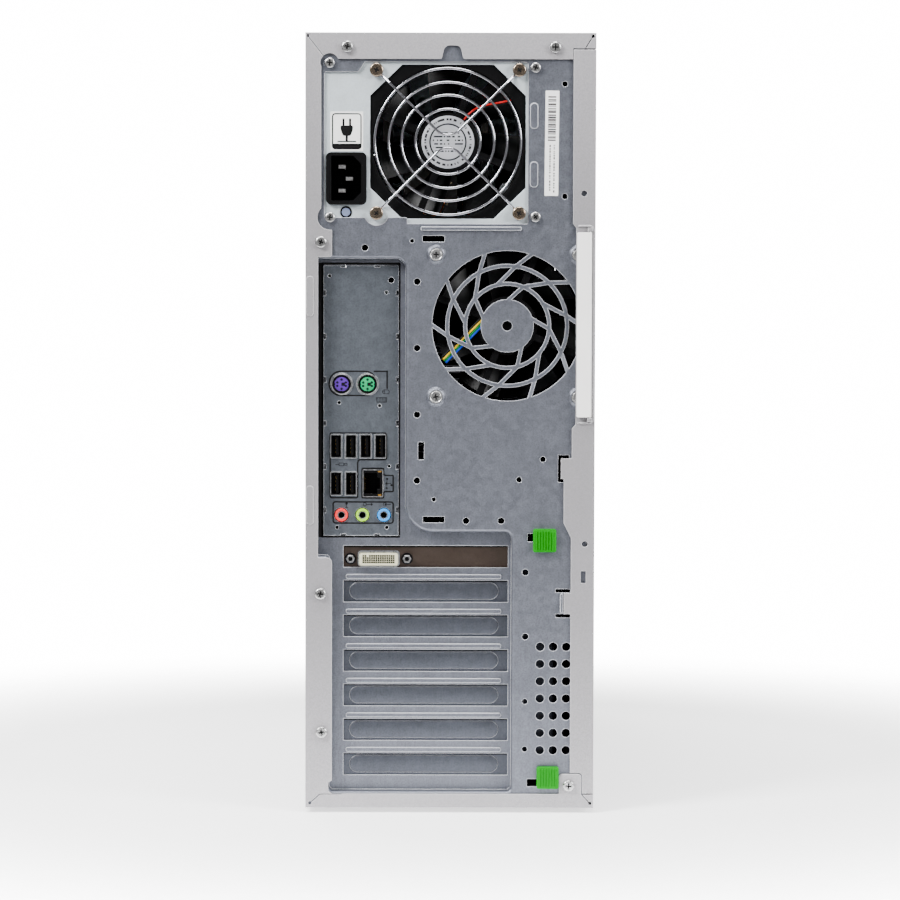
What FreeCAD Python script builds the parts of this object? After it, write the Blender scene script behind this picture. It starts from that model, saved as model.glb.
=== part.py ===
"""A desktop computer tower: steel shell and chassis, power supply, board, cards, drives and front panel.

Millimetres. The origin is the centre of the footprint at the plane the feet stand on. +Z is up, the rear
face with the sockets looks along -Y, and +X is the side of the access panel.
"""

import FreeCAD, Part
import math
import os

os.makedirs("parts", exist_ok=True)
V = FreeCAD.Vector

# ---------------------------------------------------------------- driving dimensions
WIDTH, DEPTH, HEIGHT = 168.0, 455.0, 453.0
FOOT_HEIGHT = 3.0
SHEET = 1.0  # shell and chassis sheet
GAP = 0.3  # between two sheets that lie on each other

HALF_W = WIDTH / 2
REAR, FRONT = -DEPTH / 2, DEPTH / 2
SCREW_HEAD = 2.5  # the cover screws' heads are the rearmost things
FLANGE_Y = REAR + SCREW_HEAD  # outer face of the painted rear flanges
PANEL_Y = FLANGE_Y + SHEET + 0.6  # outer face of the galvanised rear panel
RECESS = 8.0  # how far the socket and card area is let in
FLOOR_Y = PANEL_Y + RECESS  # outer face of that area
PSU_Y = PANEL_Y + SHEET + GAP  # outer face of the power supply's end plate
SHELL_FRONT = FRONT - 39.5  # where the steel shell ends
BEZEL_Y = SHELL_FRONT + 0.4

PANEL_LOW, PANEL_TOP = 11.6, 443.3  # the access panel's lower and upper edges
PIVOT_X, PIVOT_Z = HALF_W - 0.5, PANEL_LOW + 0.5  # the line that the access panel tilts about

SLOT_PITCH, SLOT_COUNT, SLOT_TOP = 20.32, 7, 149.2
SLOT_LEFT, SLOT_RIGHT, SLOT_OPEN = -62.1, 34.0, 12.7
SLOTS = [SLOT_TOP - SLOT_PITCH * i for i in range(SLOT_COUNT)]

IO_LEFT, IO_LOW, IO_W, IO_H = -74.1, 161.0, 44.45, 158.75
TRAY_X = -79.0
BOARD_X, BOARD_T = -71.9, 1.6  # back face of the main board and its thickness
BOARD_TOP_X = BOARD_X + BOARD_T

PSU_FAN = (-1.6, 390.3)
CASE_FAN = (33.0, 284.0)
FAN_SIZE, FAN_PITCH, FAN_DEPTH = 92.0, 82.5, 25.0
CPU_AT = (-110.0, 235.0)  # Y and Z of the processor's centre
CPU_FAN_SIZE, CPU_FAN_PITCH = 80.0, 71.5

COVER_SCREWS = [(-59.7, 444.8), (60.3, 444.6), (-74.9, 332.3), (-75.1, 128.2), (-74.5, 47.3), (69.5, 16.2)]
PSU_SCREWS = [(-69.9, 435.6), (49.0, 433.0), (-69.7, 346.6), (49.2, 347.0)]


# ---------------------------------------------------------------- small helpers
def block(x, y, z):
    """A box between three (low, high) pairs."""
    return Part.makeBox(x[1] - x[0], y[1] - y[0], z[1] - z[0], V(x[0], y[0], z[0]))


def rod_y(x, z, radius, y):
    """A cylinder along Y."""
    return Part.makeCylinder(radius, y[1] - y[0], V(x, y[0], z), V(0, 1, 0))


def rod_x(y, z, radius, x):
    """A cylinder along X."""
    return Part.makeCylinder(radius, x[1] - x[0], V(x[0], y, z), V(1, 0, 0))


def rod_z(x, y, radius, z):
    """A cylinder along Z."""
    return Part.makeCylinder(radius, z[1] - z[0], V(x, y, z[0]), V(0, 0, 1))


def outline(corners, y):
    """A closed wire in a plane of constant Y, through corners (x, z) or (x, z, rounding radius)."""
    joints = []
    for i, corner in enumerate(corners):
        here = V(corner[0], y, corner[1])
        radius = corner[2] if len(corner) > 2 else 0.0
        if not radius:
            joints.append((here, None, here))
            continue
        after = corners[(i + 1) % len(corners)]
        to_before = (V(corners[i - 1][0], y, corners[i - 1][1]) - here).normalize()
        to_after = (V(after[0], y, after[1]) - here).normalize()
        half = to_before.getAngle(to_after) / 2
        inward = (to_before + to_after).normalize()
        centre = here + inward * (radius / math.sin(half))
        back = radius / math.tan(half)
        joints.append((here + to_before * back, centre - inward * radius, here + to_after * back))
    edges = []
    for i, (start, middle, stop) in enumerate(joints):
        if middle is not None:
            edges.append(Part.Arc(start, middle, stop).toShape())
        following = joints[(i + 1) % len(joints)][0]
        if stop.distanceToPoint(following) > 1e-6:
            edges.append(Part.LineSegment(stop, following).toShape())
    return Part.Wire(edges)


def plate(corners, y):
    """An outline in X and Z, made solid between two values of Y."""
    return Part.Face(outline(corners, y[0])).extrude(V(0, y[1] - y[0], 0))


def rounded(x, z, radius, y):
    """A rectangle in X and Z with rounded corners, solid between two values of Y."""
    corners = [(x[0], z[0]), (x[1], z[0]), (x[1], z[1]), (x[0], z[1])]
    return plate([(cx, cz, radius) for cx, cz in corners], y)


def fused(shapes):
    """All the shapes as one."""
    whole = shapes[0].multiFuse(shapes[1:]) if len(shapes) > 1 else shapes[0]
    return whole.removeSplitter()


def cut(shape, tools):
    """The shape without the tools."""
    return shape.cut(Part.makeCompound(tools))


def slit(start, end, width, dot, y):
    """A thin straight cut in a flange, with a round relief at its start."""
    along = V(end[0] - start[0], 0, end[1] - start[1])
    side = V(-along.z, 0, along.x).normalize() * (width / 2)
    first, last = V(start[0], y[0], start[1]), V(end[0], y[0], end[1])
    ring = [first + side, last + side, last - side, first - side, first + side]
    thin = Part.Face(Part.makePolygon(ring)).extrude(V(0, y[1] - y[0], 0))
    return [thin, rod_y(start[0], start[1], dot, y)]


def pan_screw(x, z, seat, head_radius, head, shank_radius, shank):
    """A cross-recessed screw whose head stands on the plane Y = seat and points rearwards."""
    body = rod_y(x, z, head_radius, (seat - head, seat))
    rim = [e for e in body.Edges if abs(e.BoundBox.YMax - (seat - head)) < 1e-6 and e.Length > head_radius]
    body = body.makeFillet(head * 0.45, rim)
    arm, wide = head_radius * 0.62, head_radius * 0.13
    depth = (seat - head - 1, seat - head * 0.4)
    cross = [block((x - arm, x + arm), depth, (z - wide, z + wide))]
    cross.append(block((x - wide, x + wide), depth, (z - arm, z + arm)))
    return fused([cut(body, cross), rod_y(x, z, shank_radius, (seat - 0.01, seat + shank))])


def grid(centre, pitch, count, radius, y):
    """A rectangular field of round cutters along Y."""
    cutters = []
    for i in range(count[0]):
        for k in range(count[1]):
            x = centre[0] + (i - (count[0] - 1) / 2) * pitch[0]
            z = centre[1] + (k - (count[1] - 1) / 2) * pitch[1]
            cutters.append(rod_y(x, z, radius, y))
    return cutters


def tube_path(points, bends, radius):
    """A round lead along straight runs joined by tangent arcs, one bend radius for each inner point."""
    edges = []
    last = points[0]
    for i, bend in enumerate(bends):
        here = points[i + 1]
        back = (points[i] - here).normalize()
        ahead = (points[i + 2] - here).normalize()
        half = back.getAngle(ahead) / 2
        start = here + back * (bend / math.tan(half))
        stop = here + ahead * (bend / math.tan(half))
        centre = here + (back + ahead).normalize() * (bend / math.sin(half))
        middle = centre + (here - centre).normalize() * bend
        edges.append(Part.LineSegment(last, start).toShape())
        edges.append(Part.Arc(start, middle, stop).toShape())
        last = stop
    edges.append(Part.LineSegment(last, points[-1]).toShape())
    spine = Part.Wire(edges)
    section = Part.Wire(Part.makeCircle(radius, points[0], points[1] - points[0]))
    lead = spine.makePipeShell([section], True, False)
    share = lead.Volume / (math.pi * radius**2 * spine.Length)
    print(f"lead: length {spine.Length:.1f}, bends {bends}, volume over section x length {share:.4f}")
    return lead


def save(name, *solids):
    """Writes one sub-part, which may be a group of separate solids."""
    shape = solids[0] if len(solids) == 1 else Part.makeCompound(list(solids))
    if not shape.isValid():
        print("NOT VALID:", name)
    shape.exportStep(f"parts/{name}.step")


# ---------------------------------------------------------------- painted shell
FLANGE = (FLANGE_Y, FLANGE_Y + SHEET)
SHELL_Y = (FLANGE_Y, SHELL_FRONT)
TOP_SEAM, LOW_SEAM = 444.1, 10.8  # where the fixed cover ends on the access panel's side


def cover_flange():
    """The fixed cover's rear flange: a C that runs over the top, down one side and along the bottom."""
    corners = [
        (-HALF_W, FOOT_HEIGHT), (HALF_W, FOOT_HEIGHT), (HALF_W, LOW_SEAM), (77.0, LOW_SEAM),
        (77.0, 23.0, 2.0), (64.0, 23.0, 2.0), (64.0, 11.2), (-68.5, 11.2), (-70.6, 12.6, 0.8),
        (-70.6, 17.6, 0.8), (-68.5, 19.0), (-68.5, 149.2, 3.0), (-76.6, 149.2), (-76.6, 323.6),
        (-68.5, 323.6, 1.5), (-68.5, 341.3, 3.0), (-74.8, 341.3), (-74.8, 437.8), (-5.2, 437.8, 1.5),
        (-3.6, 445.6, 3.4), (5.6, 445.6, 3.4), (7.2, 437.8, 1.5), (70.5, 437.8), (70.5, TOP_SEAM),
        (HALF_W, TOP_SEAM), (HALF_W, HEIGHT), (-HALF_W, HEIGHT),
    ]
    flange = plate(corners, FLANGE)
    deep = (FLANGE_Y - 1, FLANGE_Y + SHEET + 0.2)
    tools = [rod_y(-69.9, 435.6, 5.4, deep), rod_y(-69.7, 346.6, 7.3, deep)]
    tools += slit((-82.6, 451.0), (-72.8, 438.6), 0.45, 1.0, deep)
    tools += slit((82.0, 451.0), (77.0, 443.0), 0.6, 1.0, deep)
    tools += slit((-81.3, 5.7), (-75.5, 10.9), 0.6, 1.0, deep)
    tools += slit((-75.5, 10.9), (-62.6, 10.9), 0.5, 0.25, deep)
    tools += slit((82.0, 5.7), (76.9, 11.2), 0.6, 1.0, deep)
    tools += [rod_y(x, z, 1.9, deep) for x, z in COVER_SCREWS]
    return cut(flange, tools)


def outer_cover():
    """The wrap-round cover: side, top and bottom walls, the two lips that meet the panel, the flange."""
    walls = [
        block((-HALF_W, -HALF_W + SHEET), SHELL_Y, (FOOT_HEIGHT, HEIGHT)),
        block((-HALF_W, HALF_W), SHELL_Y, (HEIGHT - SHEET, HEIGHT)),
        block((-HALF_W, HALF_W), SHELL_Y, (FOOT_HEIGHT, FOOT_HEIGHT + SHEET)),
        block((HALF_W - SHEET, HALF_W), SHELL_Y, (TOP_SEAM, HEIGHT)),
        block((HALF_W - SHEET, HALF_W), SHELL_Y, (FOOT_HEIGHT, LOW_SEAM)),
        cover_flange(),
    ]
    for low, high in ((289.5, 312.5), (168.5, 191.0)):  # two pressed hooks beside the sockets
        walls.append(rounded((-83.4, -79.2), (low, high), 2.0, (FLANGE_Y - 0.5, FLANGE_Y + 0.5)))
    return fused(walls)


def access_panel():
    """The removable side: an outer sheet with hems, and the flange with its hook, holes and lock slot."""
    top, low = PANEL_TOP, PANEL_LOW
    corners = [
        (HALF_W, low), (HALF_W, top), (70.9, top), (70.9, 343.5), (72.8, 340.5), (72.8, 227.0),
        (70.7, 224.5), (70.7, 207.2), (64.4, 207.2), (64.4, 195.3), (66.1, 195.3), (66.1, 169.5, 3.0),
        (70.4, 161.0, 3.0), (70.4, 128.8), (66.4, 128.8), (66.4, 116.6), (70.3, 116.6), (70.3, 23.7),
        (77.5, 23.7, 2.4), (77.5, low),
    ]
    deep = (FLANGE_Y - 1, FLANGE_Y + SHEET + 0.2)
    holes = [rod_y(77.2, 360.6, 1.75, deep), rod_y(78.4, 157.4, 1.75, deep)]
    holes.append(rounded((76.1, 79.1), (134.7, 141.7), 0.5, deep))
    flange = cut(plate(corners, FLANGE), holes)
    inner = HALF_W - SHEET
    parts = [
        flange,
        block((inner, HALF_W), (FLANGE_Y, SHELL_FRONT - 0.4), (low, top)),
        block((75.0, inner), (PANEL_Y + 2.0, SHELL_FRONT - 4.5), (top - SHEET, top)),
        block((76.0, inner), (PANEL_Y + 2.0, SHELL_FRONT - 4.5), (low, low + SHEET)),
        block((76.5, inner), (SHELL_FRONT - 1.4, SHELL_FRONT - 0.4), (low, top)),
    ]
    for z in (HANDLE_Z[0] - 2.6, HANDLE_Z[1] + 0.4):  # the ears that carry the handle's pins
        parts.append(block((79.6, 82.2), (FLANGE_Y - 2.2, FLANGE_Y), (z, z + 2.2)))
    rim = rounded((68.0, 83.2), (227.4, 342.2), 3.0, (FLANGE_Y - 0.8, FLANGE_Y + 0.2))
    rim = rim.cut(rounded((60.0, 82.4), (228.2, 341.4), 2.4, (FLANGE_Y - 1, FLANGE_Y + 1)))
    parts.append(rim.common(block((74.0, 84.0), (FLANGE_Y - 1, FLANGE_Y + 1), (220.0, 350.0))))
    parts.append(rod_z(HINGE_X, HINGE_Y, 0.55, (HANDLE_Z[0] - 0.6, HANDLE_Z[0] + 3.0)))
    parts.append(rod_z(HINGE_X, HINGE_Y, 0.55, (HANDLE_Z[1] - 3.0, HANDLE_Z[1] + 0.6)))
    return fused(parts)


HANDLE_X, HANDLE_Z = (73.2, 80.9), (231.2, 338.2)
HINGE_X, HINGE_Y = HANDLE_X[1], FLANGE_Y - 1.3


def panel_handle():
    """The pull handle: a flap whose outer edge is a barrel on two pins, with a lip along its free edge."""
    flap = rounded((HANDLE_X[0], HINGE_X), HANDLE_Z, 1.0, (HINGE_Y - 1.0, HINGE_Y + 0.2))
    lip = block((HANDLE_X[0], HANDLE_X[0] + 1.2), (HINGE_Y - 0.5, HINGE_Y + 0.9), (235.0, 334.0))
    barrel = rod_z(HINGE_X, HINGE_Y, 1.0, HANDLE_Z)
    bores = [rod_z(HINGE_X, HINGE_Y, 0.62, (HANDLE_Z[0] - 1, HANDLE_Z[0] + 3.4))]
    bores.append(rod_z(HINGE_X, HINGE_Y, 0.62, (HANDLE_Z[1] - 3.4, HANDLE_Z[1] + 1)))
    return cut(fused([flap, lip, barrel]), bores)


def rubber_feet():
    """Four round feet under the cover."""
    return [
        Part.makeCone(9.0, 10.0, FOOT_HEIGHT, V(x, y, 0)) for x in (-62.0, 62.0) for y in (-190.0, 160.0)
    ]


# ---------------------------------------------------------------- galvanised chassis
PANEL = (PANEL_Y, PANEL_Y + SHEET)
BEND = 2.6  # stock round the recess, so that its mouth can be rounded
RECESS_CORNERS = [
    (-79.0, 323.0, 3.0), (-25.9, 323.0, 6.0), (-25.9, 164.1, 16.0), (35.9, 164.1, 4.0),
    (35.9, 12.4, 3.0), (-70.5, 12.4, 3.0), (-70.5, 150.0, 1.5), (-79.0, 150.0, 3.0),
]
GRILLE_R, GRILLE_HUB, GRILLE_DISH = 43.5, 15.4, 2.0
GRILLE_RINGS, RING_W = (24.4, 34.8), 2.2
PANEL_HOLES = [
    (-49.5, 329.1, 1.9), (-22.2, 333.1, 1.2), (-19.2, 309.5, 1.9), (-19.2, 271.0, 1.9), (-19.2, 232.4, 1.9),
    (-19.2, 194.1, 1.9), (-9.3, 183.1, 1.2), (9.4, 170.7, 1.9), (29.8, 170.7, 1.9), (40.1, 194.7, 1.6),
    (54.0, 206.6, 1.6), (44.0, 140.7, 1.9), (44.0, 103.2, 1.9), (43.9, 65.2, 1.6), (43.8, 37.3, 1.6),
    (65.9, 423.7, 1.6), (66.1, 358.9, 1.6),
]
PANEL_SLOTS = [  # centre x, centre z, width, height
    (-9.8, 334.3, 12.7, 3.5), (-16.8, 211.4, 3.5, 10.2), (-9.4, 171.4, 12.5, 3.5),
    (66.0, 201.2, 6.4, 15.8), (65.8, 130.0, 8.6, 2.0), (65.8, 115.4, 8.6, 2.0),
    (51.6, 161.0, 12.8, 4.7), (52.6, 17.6, 14.8, 4.4),
]


def psu_window(y):
    """The opening that shows the power supply's end plate, with a relief round one fan screw."""
    corners = [
        (-72.9, 346.6), (-72.9, 430.3, 1.0), (-53.4, 430.3, 1.0), (-49.6, 436.1), (44.7, 436.1, 2.0),
        (44.7, 343.0, 1.0), (-25.0, 343.0), (-25.0, 346.6, 1.0),
    ]
    lobes = [rod_y(PSU_FAN[0] - FAN_PITCH / 2, PSU_FAN[1] - FAN_PITCH / 2, 7.0, y)]
    return [plate(corners, y)] + lobes


def arc_spoke(start, end, width, y):
    """A straight grille spoke between two (radius, angle in degrees) points about the case fan's centre."""
    ends = []
    for radius, angle in (start, end):
        a = math.radians(angle)
        ends.append(V(CASE_FAN[0] + radius * math.cos(a), y[0], CASE_FAN[1] + radius * math.sin(a)))
    along = ends[1] - ends[0]
    side = V(-along.z, 0, along.x).normalize() * (width / 2)
    ring = [ends[0] + side, ends[1] + side, ends[1] - side, ends[0] - side, ends[0] + side]
    return Part.Face(Part.makePolygon(ring)).extrude(V(0, y[1] - y[0], 0))


def fan_grille():
    """The finger grille pressed into the rear panel: a hub, two rings and swept spokes on a shallow dish."""
    x, z = CASE_FAN
    y = (PANEL_Y - 1, PANEL_Y + GRILLE_DISH + 3)
    pattern = [rod_y(x, z, GRILLE_HUB, y)]
    for ring in GRILLE_RINGS:
        hoop = rod_y(x, z, ring + RING_W / 2, y)
        pattern.append(hoop.cut(rod_y(x, z, ring - RING_W / 2, y)))
    inner, outer = GRILLE_RINGS
    for k in range(10):
        turn = 36 * k
        pattern.append(arc_spoke((inner, 32 + turn), (outer, 10 + turn), RING_W, y))
        pattern.append(arc_spoke((outer, 10 + turn), (GRILLE_R + 0.6, -1 + turn), RING_W, y))
    for k in range(5):
        turn = 72 * k
        pattern.append(arc_spoke((GRILLE_HUB - 1, 18 + turn), (inner, -4 + turn), RING_W, y))
    dish = [(0, GRILLE_DISH), (36, GRILLE_DISH), (GRILLE_R, 0), (GRILLE_R + 1, 0)]
    profile = [V(x + r, PANEL_Y + d, z) for r, d in dish]
    profile += [V(x + r, PANEL_Y + d + SHEET, z) for r, d in reversed(dish)]
    shell = Part.Face(Part.makePolygon(profile + profile[:1])).revolve(V(x, 0, z), V(0, 1, 0), 360)
    return fused(pattern).common(shell).cut(rod_y(x, z, 2.9, y))


def rear_panel():
    """The galvanised rear wall with the let-in area, the grille, every opening and the retainer's lugs."""
    sheet = block((-82.6, 79.5), PANEL, (4.3, 451.5))
    mouth = Part.Face(outline(RECESS_CORNERS, PANEL_Y))
    around = mouth.makeOffset2D(BEND)
    pan = around.extrude(V(0, RECESS + SHEET, 0))
    hollow = mouth.extrude(V(0, RECESS, 0))
    wall = fused([sheet, pan]).cut(hollow)
    front_edges = []
    for edge in wall.Edges:
        box = edge.BoundBox
        flat = abs(box.YMin - PANEL_Y) < 1e-4 and abs(box.YMax - PANEL_Y) < 1e-4
        inside = box.XMin > -79.5 and box.XMax < 36.5 and box.ZMin > 12.0 and box.ZMax < 323.5
        if flat and inside:
            front_edges.append(edge)
    wall = wall.makeFillet(2.0, front_edges)
    through = (PANEL_Y - 1, PANEL_Y + SHEET + 1)
    tools = psu_window(through)
    tools.append(rod_y(CASE_FAN[0], CASE_FAN[1], GRILLE_R, through))
    tools += [rod_y(x, z, r, through) for x, z, r in PANEL_HOLES]
    for x, z, w, h in PANEL_SLOTS:
        tools.append(rounded((x - w / 2, x + w / 2), (z - h / 2, z + h / 2), 0.4, through))
    tools += grid((60.3, 67.0), (7.6, 10.1), (3, 7), 2.55, through)
    tools += [rod_y(x, z, 1.9, through) for x, z in COVER_SCREWS + PSU_SCREWS]
    for sz in (-1, 1):
        for sx in (-1, 1):
            x, z = CASE_FAN[0] + sx * FAN_PITCH / 2, CASE_FAN[1] + sz * FAN_PITCH / 2
            tools.append(Part.makeCone(5.2, 3.4, 0.8, V(x, PANEL_Y, z), V(0, 1, 0)))
            tools.append(rod_y(x, z, 3.4, through))
    floor = (FLOOR_Y - 1, FLOOR_Y + SHEET + 1)
    tools.append(block((IO_LEFT + 0.2, IO_LEFT + IO_W - 0.2), floor, (IO_LOW + 0.2, IO_LOW + IO_H - 0.8)))
    for z in SLOTS:
        tools.append(block((SLOT_LEFT, SLOT_RIGHT), floor, (z - SLOT_OPEN / 2, z + SLOT_OPEN / 2)))
    wall = cut(wall, tools)
    extras = [wall, fan_grille()]
    for z in SLOTS[:-1]:  # a pressed rib under each opening
        rib_z = z - 11.7
        extras.append(rounded((-60.5, 30.0), (rib_z - 1.2, rib_z + 1.2), 1.0, (FLOOR_Y - 1.1, FLOOR_Y + 0.5)))
    for low, high in ((398.0, 412.6), (364.2, 378.8)):  # two pressed guides beside the power supply
        extras.append(rounded((46.0, 50.4), (low, high), 2.0, (PANEL_Y - 0.6, PANEL_Y + 0.5)))
    shelf = rounded((-17.0, 41.0), (339.2, 341.2), 0.6, (PANEL_Y - 1.2, PANEL_Y + 0.5))
    extras.append(shelf)
    loop = rounded((64.4, 65.9), (117.2, 128.4), 0.7, (PANEL_Y - 1.6, PANEL_Y + 0.5))  # padlock loop
    extras.append(loop)
    for z in (RETAINER_Z[0] - 3.1, RETAINER_Z[1] + 0.4):
        extras.append(block((55.0, 62.0), (PANEL_Y + 0.5, RETAINER_Y + 3.0), (z, z + 2.7)))
    extras.append(rod_z(RETAINER_X, RETAINER_Y, 1.2, (RETAINER_Z[0] - 1.0, RETAINER_Z[0] + 4.0)))
    extras.append(rod_z(RETAINER_X, RETAINER_Y, 1.2, (RETAINER_Z[1] - 4.0, RETAINER_Z[1] + 1.0)))
    return fused(extras)


RETAINER_X, RETAINER_Y, RETAINER_Z = 58.5, PANEL_Y + 9.9, (28.0, 148.0)


def card_retainer():
    """The swinging clamp that holds the card brackets' tabs, on two stub pins."""
    x, y = RETAINER_X, RETAINER_Y
    arm = block((40.4, x), (y - 1.0, y + 1.0), RETAINER_Z)
    pads = [block((40.4, 43.4), (y - 2.5, y + 1.0), (z - 6.0, z + 6.0)) for z in SLOTS[1:-1]]
    barrel = rod_z(x, y, 2.6, RETAINER_Z)
    bores = [rod_z(x, y, 1.27, (RETAINER_Z[0] - 1, RETAINER_Z[0] + 5))]
    bores.append(rod_z(x, y, 1.27, (RETAINER_Z[1] - 5, RETAINER_Z[1] + 1)))
    return cut(fused([arm, barrel] + pads), bores)


def base_pan():
    """The chassis floor with an upturned lip that the access panel hooks over."""
    rear, front = PANEL_Y + SHEET, SHELL_FRONT - 3.5
    floor = block((-82.0, 82.0), (rear, front), (4.3, 5.3))
    lip = block((73.0, 74.0), (rear, front), (5.2, 12.0))
    vents = []
    for i in range(9):
        y = 60.0 + 12.0 * i
        vents.append(block((-30.0, 30.0), (y, y + 5.0), (4.0, 6.0)))
    return cut(fused([floor, lip]), vents)


def top_rail():
    """A folded rail along the top of the open side."""
    y = (PANEL_Y + SHEET, SHELL_FRONT - 3.5)
    return fused([
        block((62.0, 82.0), y, (450.4, 451.4)),
        block((62.0, 63.0), y, (445.4, 451.0)),
        block((81.0, 82.0), y, (445.4, 451.0)),
    ])


def motherboard_tray():
    """The wall that carries the main board, with a window behind the processor and cable slots."""
    tray = block((TRAY_X, TRAY_X + SHEET), (FLOOR_Y + SHEET, SHELL_FRONT - 3.5), (12.0, 444.0))
    y, z = CPU_AT
    tools = [block((TRAY_X - 1, TRAY_X + 2), (y - 40, y + 40), (z - 40, z + 40))]
    for low in (40.0, 120.0, 200.0, 280.0):
        tools.append(block((TRAY_X - 1, TRAY_X + 2), (44.0, 52.0), (low, low + 40.0)))
    return cut(tray, tools)


BAY_HEIGHT, BAY_TOP, BAY_COUNT = 42.6, 442.6, 3
BAYS = [(BAY_TOP - BAY_HEIGHT * (i + 1), BAY_TOP - BAY_HEIGHT * i) for i in range(BAY_COUNT)]
DISK_PITCH, DISK_LOW, DISK_COUNT = 40.0, 78.0, 4


def front_frame():
    """The galvanised front wall with the drive openings and the air intake."""
    sheet = block((-82.0, 82.0), (SHELL_FRONT - 3.5, SHELL_FRONT - 2.5), (4.3, 451.5))
    deep = (SHELL_FRONT - 5, SHELL_FRONT)
    tools = [block((-74.5, 74.5), deep, (low + 0.5, high - 0.5)) for low, high in BAYS]
    tools += grid((0.0, 110.0), (9.0, 9.0), (13, 15), 3.2, deep)
    tools.append(block((-66.0, 66.0), deep, (236.0, 284.0)))
    return cut(sheet, tools)


def drive_cage():
    """Two side plates and the shelves that hold the drives."""
    back, front = 60.0, SHELL_FRONT - 3.5
    parts = [
        block((-77.4, -76.4), (back, front), (60.0, 441.4)),
        block((76.4, 77.4), (back, front), (60.0, 441.4)),
        block((-76.6, 76.6), (back, front), (304.0, 305.0)),
        block((-76.6, 76.6), (back, front), (60.0, 61.0)),
        block((-76.6, 76.6), (back, front), (228.0, 229.0)),
    ]
    for i in range(DISK_COUNT):
        z = DISK_LOW + DISK_PITCH * i
        parts.append(block((-76.6, -74.2), (back + 12, front - 2), (z - 2.0, z - 0.2)))
        parts.append(block((74.2, 76.6), (back + 12, front - 2), (z - 2.0, z - 0.2)))
    cage = fused(parts)
    y_mid = (back + front) / 2
    tools = []
    for i in range(DISK_COUNT):
        z = DISK_LOW + DISK_PITCH * i
        tools.append(block((76.0, 78.0), (back + 14, front - 4), (z - 0.2, z + 28.0)))
    return cut(cage, tools)


# ---------------------------------------------------------------- fans
def fan_frame(size, pitch, depth, bore, hub):
    """A fan's frame with its motor mount on four arms. Axis Y, rear face at Y = 0, centred on X and Z."""
    half = size / 2
    frame = rounded((-half, half), (-half, half), 5.0, (0, depth))
    rim, waist_in = 4.0, 3.4
    waist = (-half + waist_in, half - waist_in)
    core = rounded(waist, waist, 12.0, (rim, depth - rim))
    between = block((-half - 1, half + 1), (rim, depth - rim), (-half - 1, half + 1))
    frame = frame.cut(frame.cut(core).common(between))
    tools = [rod_y(0, 0, bore, (-1, depth + 1))]
    for sx in (-1, 1):
        for sz in (-1, 1):
            tools.append(rod_y(sx * pitch / 2, sz * pitch / 2, 2.2, (-1, depth + 1)))
    frame = cut(frame, tools)
    arms = []
    for k in range(4):
        arm = block((hub - 1, bore + 0.8), (3.2, 6.0), (-2.0, 2.0))
        arm.rotate(V(0, 0, 0), V(0, 1, 0), 22 + 90 * k)
        arms.append(arm)
    mount = rod_y(0, 0, hub, (3.2, 6.0))
    return fused([frame, mount] + arms).cut(rod_y(0, 0, 1.6, (4.4, 7.0)))


def fan_rotor(radius, hub, depth, count):
    """A fan's hub and slanted blades on the same axis, with its shaft in the motor mount."""
    front = depth - 1.6
    cup = rod_y(0, 0, hub, (6.8, front))
    shaft = rod_y(0, 0, 1.55, (4.8, 7.0))
    ring = rod_y(0, 0, radius, (7.0, front - 0.6)).cut(rod_y(0, 0, hub - 1.0, (6.0, front + 1)))
    blades = []
    for k in range(count):
        blade = block((hub - 0.8, radius + 2), (-0.8, 0.8), (-15.0, 15.0))
        blade.rotate(V(0, 0, 0), V(1, 0, 0), 52)
        blade.translate(V(0, (7.0 + front) / 2, 0))
        blade.rotate(V(0, 0, 0), V(0, 1, 0), 360.0 * k / count)
        blades.append(blade.common(ring))
    return fused([cup, shaft] + blades)


def placed(shape, x, y, z):
    """A copy of the shape, moved."""
    copy = shape.copy()
    copy.translate(V(x, y, z))
    return copy


def turned_to_x(shape, x, y, z):
    """A copy of a fan part with its axis turned from +Y to -X, then moved."""
    copy = shape.copy()
    copy.rotate(V(0, 0, 0), V(0, 0, 1), 90)
    copy.translate(V(x, y, z))
    return copy


CASE_FAN_Y = PANEL_Y + SHEET + 0.2
PSU_FAN_Y = PSU_Y + SHEET
FAN_BORE, FAN_HUB, FAN_BLADE_R = 43.8, 17.0, 42.4


def fans():
    """The power supply's, the case's and the processor's fans."""
    frame = fan_frame(FAN_SIZE, FAN_PITCH, FAN_DEPTH, FAN_BORE, FAN_HUB)
    rotor = fan_rotor(FAN_BLADE_R, FAN_HUB, FAN_DEPTH, 7)
    save("psu_fan_frame", placed(frame, PSU_FAN[0], PSU_FAN_Y, PSU_FAN[1]))
    save("psu_fan_rotor", placed(rotor, PSU_FAN[0], PSU_FAN_Y, PSU_FAN[1]))
    save("rear_fan_frame", placed(frame, CASE_FAN[0], CASE_FAN_Y, CASE_FAN[1]))
    save("rear_fan_rotor", placed(rotor, CASE_FAN[0], CASE_FAN_Y, CASE_FAN[1]))
    small = fan_frame(CPU_FAN_SIZE, CPU_FAN_PITCH, FAN_DEPTH, 38.0, 16.0)
    small_rotor = fan_rotor(36.6, 16.0, FAN_DEPTH, 9)
    save("cpu_fan_frame", turned_to_x(small, HEATSINK_TOP + FAN_DEPTH + 0.2, CPU_AT[0], CPU_AT[1]))
    save("cpu_fan_rotor", turned_to_x(small_rotor, HEATSINK_TOP + FAN_DEPTH + 0.2, CPU_AT[0], CPU_AT[1]))


def corner_screws(centre, seat, head_radius, head, length):
    """Four screws at a 92 mm fan's corners."""
    screws = []
    for sx in (-1, 1):
        for sz in (-1, 1):
            x, z = centre[0] + sx * FAN_PITCH / 2, centre[1] + sz * FAN_PITCH / 2
            screws.append(pan_screw(x, z, seat, head_radius, head, 2.0, length))
    return screws


LEAD_R, LEAD_PITCH = 0.6, 1.25
LEAD_FROM, LEAD_TO = (-14.0, 3.0), (-36.9, -20.2)


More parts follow.
